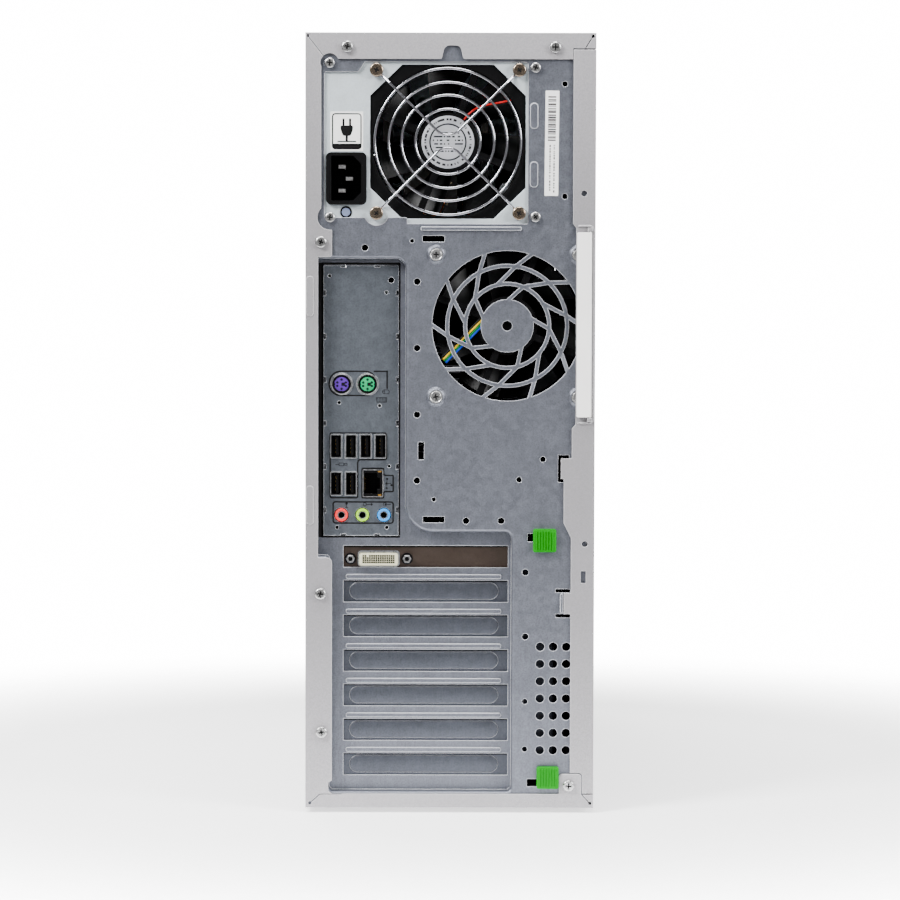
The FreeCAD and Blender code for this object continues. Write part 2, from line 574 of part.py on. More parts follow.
def case_fan_lead():
    """The case fan's four wires, side by side from its motor mount to the frame's rim."""
    y = CASE_FAN_Y + 3.2 - LEAD_R - 0.02
    start = V(CASE_FAN[0] + LEAD_FROM[0], y, CASE_FAN[1] + LEAD_FROM[1])
    end = V(CASE_FAN[0] + LEAD_TO[0], y, CASE_FAN[1] + LEAD_TO[1])
    out = (end - start).normalize()
    across = V(-out.z, 0, out.x)
    wires = []
    for k in range(4):
        side = across * (LEAD_PITCH * (k - 1.5))
        wires.append(tube_path([start + side, end + side], [], LEAD_R))
    return wires


# ---------------------------------------------------------------- power supply
PSU_X, PSU_Z, PSU_DEPTH = (-77.5, 54.5), (340.5, 440.5), 165.0
PSU_BACK = PSU_Y + PSU_DEPTH
INLET_X, INLET_Z = (-72.0, -48.6), (353.9, 384.1)
BLADES = [(-62.8, 375.8), (-58.6, 368.9), (-62.8, 362.0)]


def psu_case():
    """The power supply's box: an end plate with the fan's octagon and the inlet's hole, a vented far end."""
    outer = block(PSU_X, (PSU_Y, PSU_BACK), PSU_Z)
    inner = block(
        (PSU_X[0] + SHEET, PSU_X[1] - SHEET),
        (PSU_Y + SHEET, PSU_BACK - SHEET),
        (PSU_Z[0] + SHEET, PSU_Z[1] - SHEET),
    )
    x, z = PSU_FAN
    wide, tall, flat = 45.0, 44.4, 26.5
    octagon = [
        (x - wide, z - flat), (x - wide, z + flat), (x - flat, z + tall), (x + flat, z + tall),
        (x + wide, z + flat), (x + wide, z - flat), (x + flat, z - tall), (x - flat, z - tall),
    ]
    deep = (PSU_Y - 1, PSU_Y + SHEET + 0.5)
    tools = [inner, plate(octagon, deep)]
    hole_x = (INLET_X[0] + 1.6, INLET_X[1] - 1.6)
    hole_z = (INLET_Z[0] + 1.6, INLET_Z[1] - 1.6)
    tools.append(rounded(hole_x, hole_z, 1.0, deep))
    tools += [rod_y(sx, sz, 1.85, deep) for sx, sz in PSU_SCREWS]
    tools.append(rod_y(-60.5, 349.6, 2.5, deep))
    for sx in (-1, 1):
        for sz in (-1, 1):
            tools.append(rod_y(x + sx * FAN_PITCH / 2, z + sz * FAN_PITCH / 2, 2.1, deep))
    tools += grid((-10.0, 390.0), (8.0, 8.0), (13, 9), 2.9, (PSU_BACK - 3, PSU_BACK + 1))
    return cut(outer, tools)


def wire_guard():
    """The wire finger guard: four rings, and two V wires with rounded points that end in screw eyes."""
    x, z = PSU_FAN
    wire = 0.75
    ring_y, strut_y, eye_y = PSU_Y - 2.3, PSU_Y - 3.7, PSU_Y - wire
    solids = [Part.makeTorus(r, wire, V(x, ring_y, z), V(0, 1, 0)) for r in (18.8, 26.8, 34.2, 42.2)]
    corner, bend = FAN_PITCH / 2, 9.2
    for up in (-1, 1):
        for side in (-1, 1):
            eye = V(x + side * corner, eye_y, z + up * corner)
            solids.append(Part.makeTorus(3.0, wire, eye, V(0, 1, 0)))
            knee = V(x + side * (corner - 7.5), strut_y, z + up * (corner - 7.5))
            foot = V(x + side * (corner - 2.9), eye_y, z + up * (corner - 2.9))
            tip = V(x + side * bend / math.sqrt(2), strut_y, z + up * bend / math.sqrt(2))
            solids.append(Part.makeCylinder(wire, (knee - tip).Length, tip, knee - tip))
            solids.append(Part.makeCylinder(wire, (foot - knee).Length, knee, foot - knee))
            solids.append(Part.makeSphere(wire, knee))
        left = V(x - bend / math.sqrt(2), strut_y, z + up * bend / math.sqrt(2))
        right = V(x + bend / math.sqrt(2), strut_y, z + up * bend / math.sqrt(2))
        point = V(x, strut_y, z + up * bend * (math.sqrt(2) - 1))
        spine = Part.Wire([Part.Arc(left, point, right).toShape()])
        section = Part.Wire(Part.makeCircle(wire, left, V(1, 0, -up)))
        solids.append(spine.makePipeShell([section], True, False))
    return fused(solids)


def psu_inlet():
    """The mains inlet: a flanged body whose cavity has two cut corners."""
    (x0, x1), (z0, z1) = INLET_X, INLET_Z
    flange = rounded(INLET_X, INLET_Z, 3.0, (PSU_Y - 3.0, PSU_Y))
    body = rounded((x0 + 1.8, x1 - 1.8), (z0 + 1.8, z1 - 1.8), 1.0, (PSU_Y - 0.5, PSU_Y + 17.0))
    cavity = [
        (-69.1, 356.2, 0.8), (-69.1, 382.1, 0.8), (-56.4, 382.1), (-51.8, 377.5), (-51.8, 360.8),
        (-56.4, 356.2),
    ]
    hollow = plate(cavity, (PSU_Y - 4.0, PSU_Y + 14.0))
    return cut(fused([flange, body]).cut(hollow), inlet_blades())


def inlet_blades():
    """The inlet's three contact blades."""
    return [block((x - 2.0, x + 2.0), (PSU_Y - 0.5, PSU_Y + 20.0), (z - 1.0, z + 1.0)) for x, z in BLADES]


def psu_board():
    """The power supply's circuit board with its transformers, coils, capacitors and cooling bars."""
    y0, y1 = PSU_FAN_Y + FAN_DEPTH + 6, PSU_BACK - 6
    board = block((PSU_X[0] + 6, PSU_X[1] - 6), (y0, y1), (346.0, 347.6))
    parts = [board]
    for x in (-40.0, 18.0):
        parts.append(block((x, x + 4), (y0 + 8, y1 - 10), (347.4, 405.0)))
    for x, y in ((-62.0, -150.0), (-62.0, -115.0), (38.0, -140.0)):
        parts.append(rod_z(x, y, 11.0, (347.4, 385.0)))
    for x, y in ((-14.0, -160.0), (-14.0, -115.0)):
        parts.append(block((x - 14, x + 18), (y - 14, y + 14), (347.4, 378.0)))
    return fused(parts)


def psu_fan_lead():
    """The power supply fan's lead, from its motor mount to the frame's rim."""
    y = PSU_FAN_Y + 3.2 - 0.95
    start = V(PSU_FAN[0] + 9.0, y, PSU_FAN[1] + 12.0)
    middle = V(PSU_FAN[0] + 22.0, y, PSU_FAN[1] + 24.0)
    end = V(PSU_FAN[0] + 37.0, y, PSU_FAN[1] + 18.5)
    return tube_path([start, middle, end], [12.0], 0.9)


# ---------------------------------------------------------------- main board and sockets
BOARD_Y, BOARD_Z = (-212.0, 32.0), (16.0, 321.0)
PORT_Y = FLOOR_Y - 1.9  # how far the sockets reach out through the shield
SHIELD_Y = FLOOR_Y - 0.5
USB = [(-66.4, 213.6), (-57.7, 213.6), (-49.1, 213.6), (-40.5, 213.6), (-66.4, 191.8), (-57.7, 191.8)]
USB_W, USB_H = 6.6, 13.8
PS2 = [(-63.2, 249.8), (-48.1, 249.8)]
AUDIO = [(-63.3, 173.5), (-51.0, 173.5), (-38.5, 173.5)]
LAN_X, LAN_Z = (-50.9, -38.9), (184.0, 200.1)
BOARD_HOLES = [(-206.0, 300.0), (-206.0, 170.0), (-206.0, 30.0)]
BOARD_HOLES += [(-40.0, 310.0), (-40.0, 165.0), (-40.0, 25.0)]
BOARD_HOLES += [(24.0, 310.0), (24.0, 165.0), (24.0, 25.0)]


def io_shield():
    """The socket shield: a shallow pan with spring notches at its edges and a hole for each socket."""
    x = (IO_LEFT + 0.4, IO_LEFT + IO_W - 0.4)
    z = (IO_LOW + 0.4, IO_LOW + IO_H - 1.0)
    pan = block(x, (SHIELD_Y, SHIELD_Y + 3.6), z)
    inside = block((x[0] + 0.4, x[1] - 0.4), (SHIELD_Y + 0.4, SHIELD_Y + 5), (z[0] + 0.4, z[1] - 0.4))
    deep = (SHIELD_Y - 1, SHIELD_Y + 1)
    tools = [inside]
    for i in range(6):
        nz = 176.4 + 25.3 * i
        for edge in x:
            tools.append(block((edge - 1.3, edge + 1.3), deep, (nz - 1.6, nz + 1.6)))
    for edge in z:
        for nx in (-62.2, -42.5):
            tools.append(block((nx - 1.6, nx + 1.6), deep, (edge - 0.9, edge + 0.9)))
    small = [(-70.2, 312.8, 1.0), (-34.4, 310.3, 1.7), (-37.2, 303.3, 1.0), (-64.6, 239.1, 1.0)]
    small += [(-41.1, 237.3, 1.0), (-35.5, 202.0, 0.9), (-65.8, 166.2, 1.0), (-36.8, 166.2, 1.0)]
    tools += [rod_y(hx, hz, r, deep) for hx, hz, r in small]
    tools += [rod_y(px, pz, 6.5, deep) for px, pz in PS2]
    tools += [rod_y(px, pz, 4.2, deep) for px, pz in AUDIO]
    for ux, uz in USB:
        tools.append(block((ux - 3.4, ux + 3.4), deep, (uz - 7.0, uz + 7.0)))
    tools.append(block((LAN_X[0] - 0.2, LAN_X[1] + 0.2), deep, (LAN_Z[0] - 0.2, LAN_Z[1] + 0.2)))
    return cut(pan, tools)


def ps2_ports():
    """The two round keyboard and mouse sockets with their keyed pin fields."""
    ports = []
    for x, z in PS2:
        body = fused([
            rod_y(x, z, 6.3, (PORT_Y, -200.0)),
            block((BOARD_TOP_X, x + 6.3), (FLOOR_Y + 4, -200.0), (z - 6.3, z + 6.3)),
        ])
        ring = rod_y(x, z, 5.0, (PORT_Y - 1, PORT_Y + 8)).cut(rod_y(x, z, 4.55, (PORT_Y - 1, PORT_Y + 9)))
        holes = [ring]
        for angle in (30, 90, 150, 210, 270, 330):
            a = math.radians(angle)
            holes.append(rod_y(x + 3.0 * math.cos(a), z + 3.0 * math.sin(a), 0.5, (PORT_Y - 1, PORT_Y + 6)))
        holes.append(block((x + 0.2, x + 2.6), (PORT_Y - 1, PORT_Y + 6), (z - 0.9, z + 0.9)))
        ports.append(cut(body, holes))
    return ports


def usb_ports():
    """The six upright data sockets."""
    ports = []
    for x, z in USB:
        shell = block((x - USB_W / 2, x + USB_W / 2), (PORT_Y, -200.0), (z - USB_H / 2, z + USB_H / 2))
        cavity = block((x - 2.6, x + 2.6), (PORT_Y - 1, PORT_Y + 11.0), (z - 6.2, z + 6.2))
        ports.append(shell.cut(cavity))
    return ports


def network_port():
    """The network socket with its latch recess."""
    z_mid = (LAN_Z[0] + LAN_Z[1]) / 2
    shell = block(LAN_X, (PORT_Y, -196.0), LAN_Z)
    cavity = block((LAN_X[0] + 0.8, LAN_X[1] - 3.4), (PORT_Y - 1, PORT_Y + 13.0), (z_mid - 6.2, z_mid + 6.2))
    latch = block((LAN_X[1] - 3.5, LAN_X[1] - 1.6), (PORT_Y - 1, PORT_Y + 13.0), (z_mid - 3.6, z_mid + 3.6))
    return shell.cut(fused([cavity, latch]))


def audio_jacks():
    """The three round sound sockets."""
    jacks = []
    for x, z in AUDIO:
        front = rod_y(x, z, 3.9, (PORT_Y, FLOOR_Y + 4.2))
        body = block((x - 4.5, x + 4.5), (FLOOR_Y + 4, -201.0), (z - 5.0, z + 5.0))
        jacks.append(fused([front, body]).cut(rod_y(x, z, 1.75, (PORT_Y - 1, -203.0))))
    return jacks


def motherboard():
    """The main board with its fixing holes."""
    board = block((BOARD_X, BOARD_TOP_X), BOARD_Y, BOARD_Z)
    return cut(board, [rod_x(y, z, 2.0, (BOARD_X - 1, BOARD_TOP_X + 1)) for y, z in BOARD_HOLES])


def board_fixings():
    """The pillars under the board and the screws in them."""
    fixings = []
    for y, z in BOARD_HOLES:
        pillar = rod_x(y, z, 3.0, (TRAY_X + SHEET, BOARD_X))
        shank = rod_x(y, z, 1.7, (BOARD_X - 0.1, BOARD_TOP_X + 0.1))
        head = rod_x(y, z, 3.2, (BOARD_TOP_X, BOARD_TOP_X + 2.2))
        fixings.append(fused([pillar, shank, head]))
    return fixings


def cpu_socket():
    """The processor in its socket, with the pressing frame."""
    y, z = CPU_AT
    base = block((BOARD_TOP_X, BOARD_TOP_X + 4), (y - 24, y + 24), (z - 22, z + 22))
    lid = block((BOARD_TOP_X + 3.9, BOARD_TOP_X + 6.5), (y - 17, y + 17), (z - 17, z + 17))
    return fused([base, lid])


HEATSINK_BASE = BOARD_TOP_X + 6.6
HEATSINK_TOP = 6.0


def cpu_heatsink():
    """The processor's cooler: a base block and a stack of fins."""
    y, z = CPU_AT
    base = block((HEATSINK_BASE, HEATSINK_BASE + 9), (y - 38, y + 38), (z - 36, z + 36))
    core = rod_x(y, z, 13.0, (HEATSINK_BASE + 8, HEATSINK_TOP))
    fins = []
    for i in range(19):
        low = z - 36 + 4.0 * i - 0.35
        fins.append(block((HEATSINK_BASE + 8.5, HEATSINK_TOP), (y - 38, y + 38), (low, low + 0.7)))
    return fused([base, core] + fins)


def memory_sockets():
    """Four memory sockets, each with end latches."""
    sockets = []
    for i in range(4):
        y = -18.0 + 10.5 * i
        rail = block((BOARD_TOP_X, BOARD_TOP_X + 8), (y - 3.2, y + 3.2), (172.0, 312.0))
        groove = block((BOARD_TOP_X + 2, BOARD_TOP_X + 9), (y - 0.8, y + 0.8), (174.0, 310.0))
        ends = [block((BOARD_TOP_X, BOARD_TOP_X + 15), (y - 2.4, y + 2.4), span)
                for span in ((169.0, 173.5), (310.5, 315.0))]
        sockets.append(fused([rail.cut(groove)] + ends))
    return sockets


def memory_modules():
    """Two memory modules with their chips."""
    modules = []
    for i in (0, 2):
        y = -18.0 + 10.5 * i
        card = block((BOARD_TOP_X + 2.2, BOARD_TOP_X + 32), (y - 0.6, y + 0.6), (175.0, 309.0))
        chips = []
        for k in range(8):
            z = 183.0 + 15.6 * k
            chips.append(block((BOARD_TOP_X + 14, BOARD_TOP_X + 26), (y - 1.6, y - 0.5), (z, z + 10)))
        modules.append(fused([card] + chips))
    return modules


CARD_T, CARD_Z = 1.6, SLOTS[0] + 3.2  # the graphics card's board and its lower face
CONNECTOR_Y = [(-150.0, -62.0), (-150.0, -124.0), (-150.0, -66.0), (-150.0, -66.0), (-150.0, -66.0)]


def expansion_connectors():
    """The card connectors on the board, the longest one for the graphics card."""
    connectors = []
    for z, y in zip(SLOTS, CONNECTOR_Y):
        shell = block((BOARD_TOP_X, BOARD_TOP_X + 11), y, (z - 3.8, z + 3.8))
        groove = block((BOARD_TOP_X + 3, BOARD_TOP_X + 12), (y[0] + 2, y[1] - 2), (z - 1.0, z + 1.0))
        connectors.append(shell.cut(groove))
    return connectors


def chipset_heatsink():
    """The finned block on the board's controller chip."""
    base = block((BOARD_TOP_X, BOARD_TOP_X + 5), (-40.0, 2.0), (118.0, 158.0))
    fins = []
    for i in range(10):
        z = 119.0 + 4.1 * i
        fins.append(block((BOARD_TOP_X + 4.8, BOARD_TOP_X + 24), (-40.0, 2.0), (z, z + 1.4)))
    return fused([base] + fins)


def board_components():
    """Capacitors, coils, chips, the battery and the power plug on the board."""
    parts = []
    for i in range(7):
        parts.append(rod_x(-172.0, 196.0 + 12.0 * i, 4.0, (BOARD_TOP_X, BOARD_TOP_X + 12)))
        side = 196.0 + 12.0 * i
        parts.append(block((BOARD_TOP_X, BOARD_TOP_X + 7), (-188.0, -180.0), (side - 4, side + 4)))
    parts.append(rod_x(-20.0, 96.0, 10.0, (BOARD_TOP_X, BOARD_TOP_X + 4)))
    for i in range(4):
        parts.append(block((BOARD_TOP_X, BOARD_TOP_X + 9), (12.0, 20.0), (40.0 + 22 * i, 54.0 + 22 * i)))
    parts.append(block((BOARD_TOP_X, BOARD_TOP_X + 12), (22.0, 31.0), (200.0, 252.0)))
    for y, z in ((-40.0, 60.0), (-36.0, 84.0)):
        parts.append(block((BOARD_TOP_X, BOARD_TOP_X + 2), (y - 8, y + 8), (z - 8, z + 8)))
    return parts


# ---------------------------------------------------------------- cards
BRACKET_Y = FLOOR_Y + SHEET + 0.2
BRACKET_X, BRACKET_H = (-68.0, 39.6), 18.42
VIDEO_X, VIDEO_Z, JACK_SPACING = -41.5, SLOTS[0] - 1.3, 33.0
PIN_COLUMNS, PIN_ROWS, PIN_PITCH, PIN_LEFT_OUT = 15, 4, 1.27, (2, 3)


def bracket(z):
    """A blank slot cover with its bent fixing tab."""
    low, high = z - BRACKET_H / 2, z + BRACKET_H / 2
    face = block(BRACKET_X, (BRACKET_Y, BRACKET_Y + 0.9), (low, high))
    tab = block((BRACKET_X[1] - 0.9, BRACKET_X[1]), (PANEL_Y + 1.6, BRACKET_Y + 0.9), (low, high))
    return fused([face, tab])


def slot_cover(z):
    """A slot cover with a long pressed field."""
    field = rounded((-58.5, 28.3), (z - 4.9, z + 4.9), 4.8, (BRACKET_Y - 0.5, BRACKET_Y + 0.4))
    return fused([bracket(z), field])


def graphics_bracket():
    """The graphics card's bracket with the display socket's opening."""
    z = SLOTS[0]
    through = (BRACKET_Y - 1, BRACKET_Y + 2)
    tools = [rounded((VIDEO_X - 12.2, VIDEO_X + 12.2), (VIDEO_Z - 4.6, VIDEO_Z + 4.6), 2.0, through)]
    for side in (-1, 1):
        tools.append(rod_y(VIDEO_X + side * JACK_SPACING / 2, VIDEO_Z, 1.9, through))
    return cut(bracket(z), tools)


def hex_post(x, z, y):
    """A hexagonal jack post with its thread bore."""
    ring = []
    for k in range(7):
        a = math.radians(60 * k)
        ring.append(V(x + 2.75 * math.cos(a), y[0], z + 2.75 * math.sin(a)))
    post = Part.Face(Part.makePolygon(ring)).extrude(V(0, y[1] - y[0], 0))
    stem = rod_y(x, z, 1.75, (y[1] - 0.1, y[1] + 8.0))
    return fused([post, stem]).cut(rod_y(x, z, 1.3, (y[0] - 1, y[1] + 5.0)))


def video_connector():
    """The display socket: a shell round a field of contacts, and its two jack posts."""
    x, z = VIDEO_X, VIDEO_Z
    face = BRACKET_Y - 5.0
    shell = rounded((x - 12.0, x + 12.0), (z - 4.4, z + 4.4), 1.9, (face, -199.0))
    gap = rounded((x - 11.4, x + 11.4), (z - 3.8, z + 3.8), 1.4, (face - 1, face + 5.0))
    core = rounded((x - 10.8, x + 10.8), (z - 3.2, z + 3.2), 0.9, (face - 1, face + 6.0))
    contacts = []
    for k in range(PIN_ROWS):
        for i in range(PIN_COLUMNS):
            if (i, k) != PIN_LEFT_OUT:
                at = (x + PIN_PITCH * (i - (PIN_COLUMNS - 1) / 2), z + PIN_PITCH * (k - (PIN_ROWS - 1) / 2))
                contacts.append(rod_y(at[0], at[1], 0.38, (face - 1, face + 3)))
    shell = shell.cut(gap.cut(core)).cut(Part.makeCompound(contacts))
    posts = [hex_post(x + s * JACK_SPACING / 2, z, (BRACKET_Y - 4.6, BRACKET_Y)) for s in (-1, 1)]
    return [shell] + posts


def graphics_card():
    """The graphics card's board with its contact edge and chips."""
    z = (CARD_Z, CARD_Z + CARD_T)
    body = block((-57.0, 33.0), (BRACKET_Y + 1.4, -45.0), z)
    edge = block((-65.5, -56.9), (-147.0, -65.0), (SLOTS[0] - 0.8, SLOTS[0] + 0.8))
    neck = block((-58.8, -56.9), (-147.0, -65.0), (SLOTS[0] - 0.8, z[1]))
    chips = []
    for i in range(4):
        y = -150.0 + 22.0 * i
        chips.append(block((12.0, 26.0), (y, y + 10.0), (z[0] - 1.2, z[0] + 0.1)))
    return fused([body, edge, neck] + chips)


def graphics_cooler():
    """The finned plate under the graphics card."""
    top = CARD_Z
    plate_part = block((-50.0, 8.0), (-140.0, -60.0), (top - 3.0, top))
    fins = []
    for i in range(14):
        x = -50.0 + 4.3 * i
        fins.append(block((x, x + 1.2), (-140.0, -60.0), (top - 12.0, top - 2.9)))
    return fused([plate_part] + fins)


# ---------------------------------------------------------------- latches
def latch(x, z, half, stem_z):
    """A ribbed slide button on the rear panel, held by a plate behind it."""
    cap = rounded((x - half, x + half), (z - half, z + half), 1.2, (PANEL_Y - 3.4, PANEL_Y - 0.3))
    ribs = []
    rib_pitch, rib_width = 1.6, 0.6
    for i in range(7):
        rx = x + rib_pitch * (i - 3)
        rib = (rx - rib_width / 2, rx + rib_width / 2)
        ribs.append(block(rib, (PANEL_Y - 4.0, PANEL_Y - 3.0), (z - half + 1.2, z + half - 1.2)))
    stem = block((x - 3.0, x + 2.0), (PANEL_Y - 0.5, PANEL_Y + 2.2), stem_z)
    keeper_z = (stem_z[0] - 2.5, stem_z[1] + 2.5)
    keeper = block((x - 4.5, x + 3.5), (PANEL_Y + SHEET + GAP, PANEL_Y + 3.4), keeper_z)
    return fused([cap, stem, keeper] + ribs)


# ---------------------------------------------------------------- drives and front
OPTICAL_Z = (BAYS[0][0] + 0.6, BAYS[0][1] - 0.7)
TRAY_Z = (OPTICAL_Z[0] + 13.0, OPTICAL_Z[0] + 27.0)
EJECT_AT = (60.0, OPTICAL_Z[0] + 6.5)
POWER_AT, POWER_R = (44.0, 260.0), 9.0
FACE_Y = FRONT - 5.0  # outer face of the drive fronts
FRONT_USB = [(-46.0, 263.0), (-46.0, 252.0)]
FRONT_AUDIO = [(-22.0, 263.0), (-22.0, 252.0)]


def optical_drive():
    """The disc drive's steel box and plastic front, with the tray's tunnel and the eject button's hole."""
    body = block((-73.0, 73.0), (12.0, SHELL_FRONT), OPTICAL_Z)
    face = rounded((-74.0, 74.0), (OPTICAL_Z[0] - 0.3, OPTICAL_Z[1] + 0.3), 1.0, (SHELL_FRONT - 0.1, FACE_Y))
    tunnel = block((-66.0, 66.0), (34.0, FRONT), TRAY_Z)
    button = rounded((EJECT_AT[0] - 6.2, EJECT_AT[0] + 6.2), (EJECT_AT[1] - 2.4, EJECT_AT[1] + 2.4), 0.8,
                     (FACE_Y - 8.0, FRONT))
    return fused([body, face]).cut(fused([tunnel, button]))


def optical_tray():
    """The disc tray: a plate with stepped round recesses and its front lip."""
    z0 = TRAY_Z[0] + 0.5
    sled = block((-64.5, 64.5), (42.0, FACE_Y - 2.0), (z0, z0 + 5.0))
    wells = [rod_z(0, 112.0, 60.5, (z0 + 2.2, z0 + 9)), rod_z(0, 112.0, 40.5, (z0 + 1.4, z0 + 9))]
    slot = block((-12.0, 12.0), (60.0, 170.0), (z0 - 1, z0 + 9))
    lip = rounded((-65.3, 65.3), (TRAY_Z[0] + 0.4, TRAY_Z[1] - 0.4), 0.8, (FACE_Y - 3.0, FACE_Y + 0.6))
    return fused([cut(sled, wells + [slot]), lip])


def eject_button():
    """The drive's eject button."""
    x, z = EJECT_AT
    return rounded((x - 5.9, x + 5.9), (z - 2.1, z + 2.1), 0.7, (FACE_Y - 5.0, FACE_Y + 1.0))


def hard_drives():
    """Two disk drives lying across the cage."""
    drives = []
    for i in (0, 2):
        z = DISK_LOW + DISK_PITCH * i
        drives.append(block((-73.5, 73.5), (76.0, 177.6), (z, z + 26.1)))
    return drives


def front_bezel():
    """The moulded front: a hollow shell with drive openings, the button's hole, sockets and intake slots."""
    shell = rounded((-HALF_W, HALF_W), (FOOT_HEIGHT, HEIGHT), 4.0, (BEZEL_Y, FRONT))
    rim = [e for e in shell.Edges if abs(e.BoundBox.YMin - FRONT) < 1e-4]
    shell = shell.makeFillet(3.5, rim)
    wall = 3.0
    across = (-HALF_W + wall, HALF_W - wall)
    hollow = rounded(across, (FOOT_HEIGHT + wall, HEIGHT - wall), 2.0, (BEZEL_Y - 1, FRONT - wall))
    deep = (FRONT - 12, FRONT + 1)
    tools = [hollow]
    for low, high in BAYS:
        tools.append(block((-75.0, 75.0), deep, (low + 0.1, high - 0.1)))
    tools.append(rod_y(POWER_AT[0], POWER_AT[1], POWER_R + 0.4, deep))
    for x, z in FRONT_USB:
        tools.append(block((x - 7.2, x + 7.2), deep, (z - 3.2, z + 3.2)))
    tools += [rod_y(x, z, 3.6, deep) for x, z in FRONT_AUDIO]
    for i in range(17):
        z = 36.0 + 11.0 * i
        tools.append(rounded((-62.0, 62.0), (z, z + 5.0), 2.4, deep))
    return cut(shell, tools)


def bay_blanks():
    """The two covers over the empty drive bays, each with clips at its ends."""
    blanks = []
    for low, high in BAYS[1:]:
        face = rounded((-74.6, 74.6), (low + 0.4, high - 0.4), 1.0, (FACE_Y - 3.0, FACE_Y))
        clips = []
        for x in ((-74.0, -72.4), (72.4, 74.0)):
            clips.append(block(x, (FACE_Y - 22.0, FACE_Y - 2.0), (low + 10, high - 10)))
        blanks.append(fused([face] + clips))
    return blanks


def power_button():
    """The round power button with its guide stem."""
    x, z = POWER_AT
    cap = rod_y(x, z, POWER_R, (FRONT - 8.0, FRONT - 1.2))
    stem = rod_y(x, z, 4.0, (FRONT - 20.0, FRONT - 7.9))
    return fused([cap, stem])


def front_ports():
    """The small board behind the front with two data sockets and two sound sockets."""
    y0 = FRONT - 16.0
    parts = [block((-60.0, -12.0), (y0 - 3.6, y0 - 2.0), (244.0, 271.0))]
    for x, z in FRONT_USB:
        shell = block((x - 6.9, x + 6.9), (y0 - 2.1, FRONT - 1.5), (z - 3.0, z + 3.0))
        parts.append(shell.cut(block((x - 6.2, x + 6.2), (y0 + 3.0, FRONT), (z - 2.4, z + 2.4))))
    for x, z in FRONT_AUDIO:
        jack = rod_y(x, z, 3.4, (y0 - 2.1, FRONT - 1.5))
        parts.append(jack.cut(rod_y(x, z, 1.75, (y0 + 2, FRONT))))
    return fused(parts)


def labels():
    """The serial strip beside the power supply and the rating label over the inlet."""
    serial = rounded((-4.0, 4.0), (-30.5, 30.5), 0.4, (PANEL_Y - 0.15, PANEL_Y))
    serial.rotate(V(0, 0, 0), V(0, 1, 0), -0.5)
    serial.translate(V(58.5, 0, 389.5))
    rating = rounded((-69.6, -50.6), (384.9, 407.6), 0.6, (PSU_Y - 0.15, PSU_Y))
    return [serial, rating]


def power_harness():
    """The main cable from the power supply down to the board's power plug."""
    points = [V(20.0, PSU_BACK, 352.0), V(20.0, -12.0, 352.0), V(0.0, 26.5, 300.0), V(-22.0, 26.5, 226.0),
              V(BOARD_TOP_X + 12.3, 26.5, 226.0)]
    return tube_path(points, [26.0, 30.0, 16.0], 5.0)


def main():
    """Builds and writes every sub-part."""
    save("outer_cover", outer_cover())
    save("cover_screws", *[pan_screw(x, z, FLANGE_Y, 3.4, SCREW_HEAD, 1.75, 3.5) for x, z in COVER_SCREWS])
    save("rubber_feet", *rubber_feet())
    save("side_access_panel", access_panel())
    save("panel_handle", panel_handle())
    save("rear_panel", rear_panel())
    save("card_retainer", card_retainer())
    save("base_pan", base_pan())
    save("top_rail", top_rail())
    save("motherboard_tray", motherboard_tray())
    save("front_frame", front_frame())
    save("drive_cage", drive_cage())
    fans()
    save("rear_fan_screws", *corner_screws(CASE_FAN, PANEL_Y + SHEET, 3.2, SHEET, 10.0))
    save("rear_fan_lead", *case_fan_lead())
    save("psu_case", psu_case())
    save("psu_screws", *[pan_screw(x, z, PANEL_Y, 3.0, 2.2, 1.7, 6.0) for x, z in PSU_SCREWS])
    save("psu_fan_guard", wire_guard())
    save("psu_fan_screws", *corner_screws(PSU_FAN, PSU_Y - 1.6, 4.0, 2.3, 12.0))
    save("psu_fan_lead", psu_fan_lead())
    save("psu_inlet", psu_inlet())
    save("psu_inlet_pins", *inlet_blades())
    save("psu_status_led", rod_y(-60.5, 349.6, 2.4, (PSU_Y - 0.8, PSU_Y + 5.0)))
    save("psu_board", psu_board())
    save("motherboard", motherboard())
    save("board_fixings", *board_fixings())
    save("io_shield", io_shield())
    save("ps2_ports", *ps2_ports())
    save("usb_ports", *usb_ports())
    save("network_port", network_port())
    save("audio_jacks", *audio_jacks())
    save("cpu_socket", cpu_socket())
    save("cpu_heatsink", cpu_heatsink())
    save("memory_sockets", *memory_sockets())
    save("memory_modules", *memory_modules())
    save("expansion_connectors", *expansion_connectors())
    save("chipset_heatsink", chipset_heatsink())
    save("board_components", *board_components())
    save("slot_covers", *[slot_cover(z) for z in SLOTS[1:]])
    save("graphics_bracket", graphics_bracket())
    save("video_connector", *video_connector())
    save("graphics_card", graphics_card())
    save("graphics_cooler", graphics_cooler())
    save("upper_latch", latch(55.1, 159.5, 6.7, (159.0, 162.9)))
    save("lower_latch", latch(57.3, 20.9, 6.4, (15.8, 19.4)))
    save("optical_drive", optical_drive())
    save("optical_tray", optical_tray())
    save("eject_button", eject_button())
    save("hard_drives", *hard_drives())
    save("front_bezel", front_bezel())
    save("bay_blanks", *bay_blanks())
    save("power_button", power_button())
    save("front_ports", front_ports())
    save("labels", *labels())
    save("power_harness", power_harness())


main()
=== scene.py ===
"""Looks of a desktop computer tower: finishes, printed marks, fans, sockets, boards, drives and front.

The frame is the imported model's: +Z is up, the rear face looks along -Y, +X is the access panel's side.
Shapes are drawn in millimetres and become metres when a stock becomes a piece.
"""

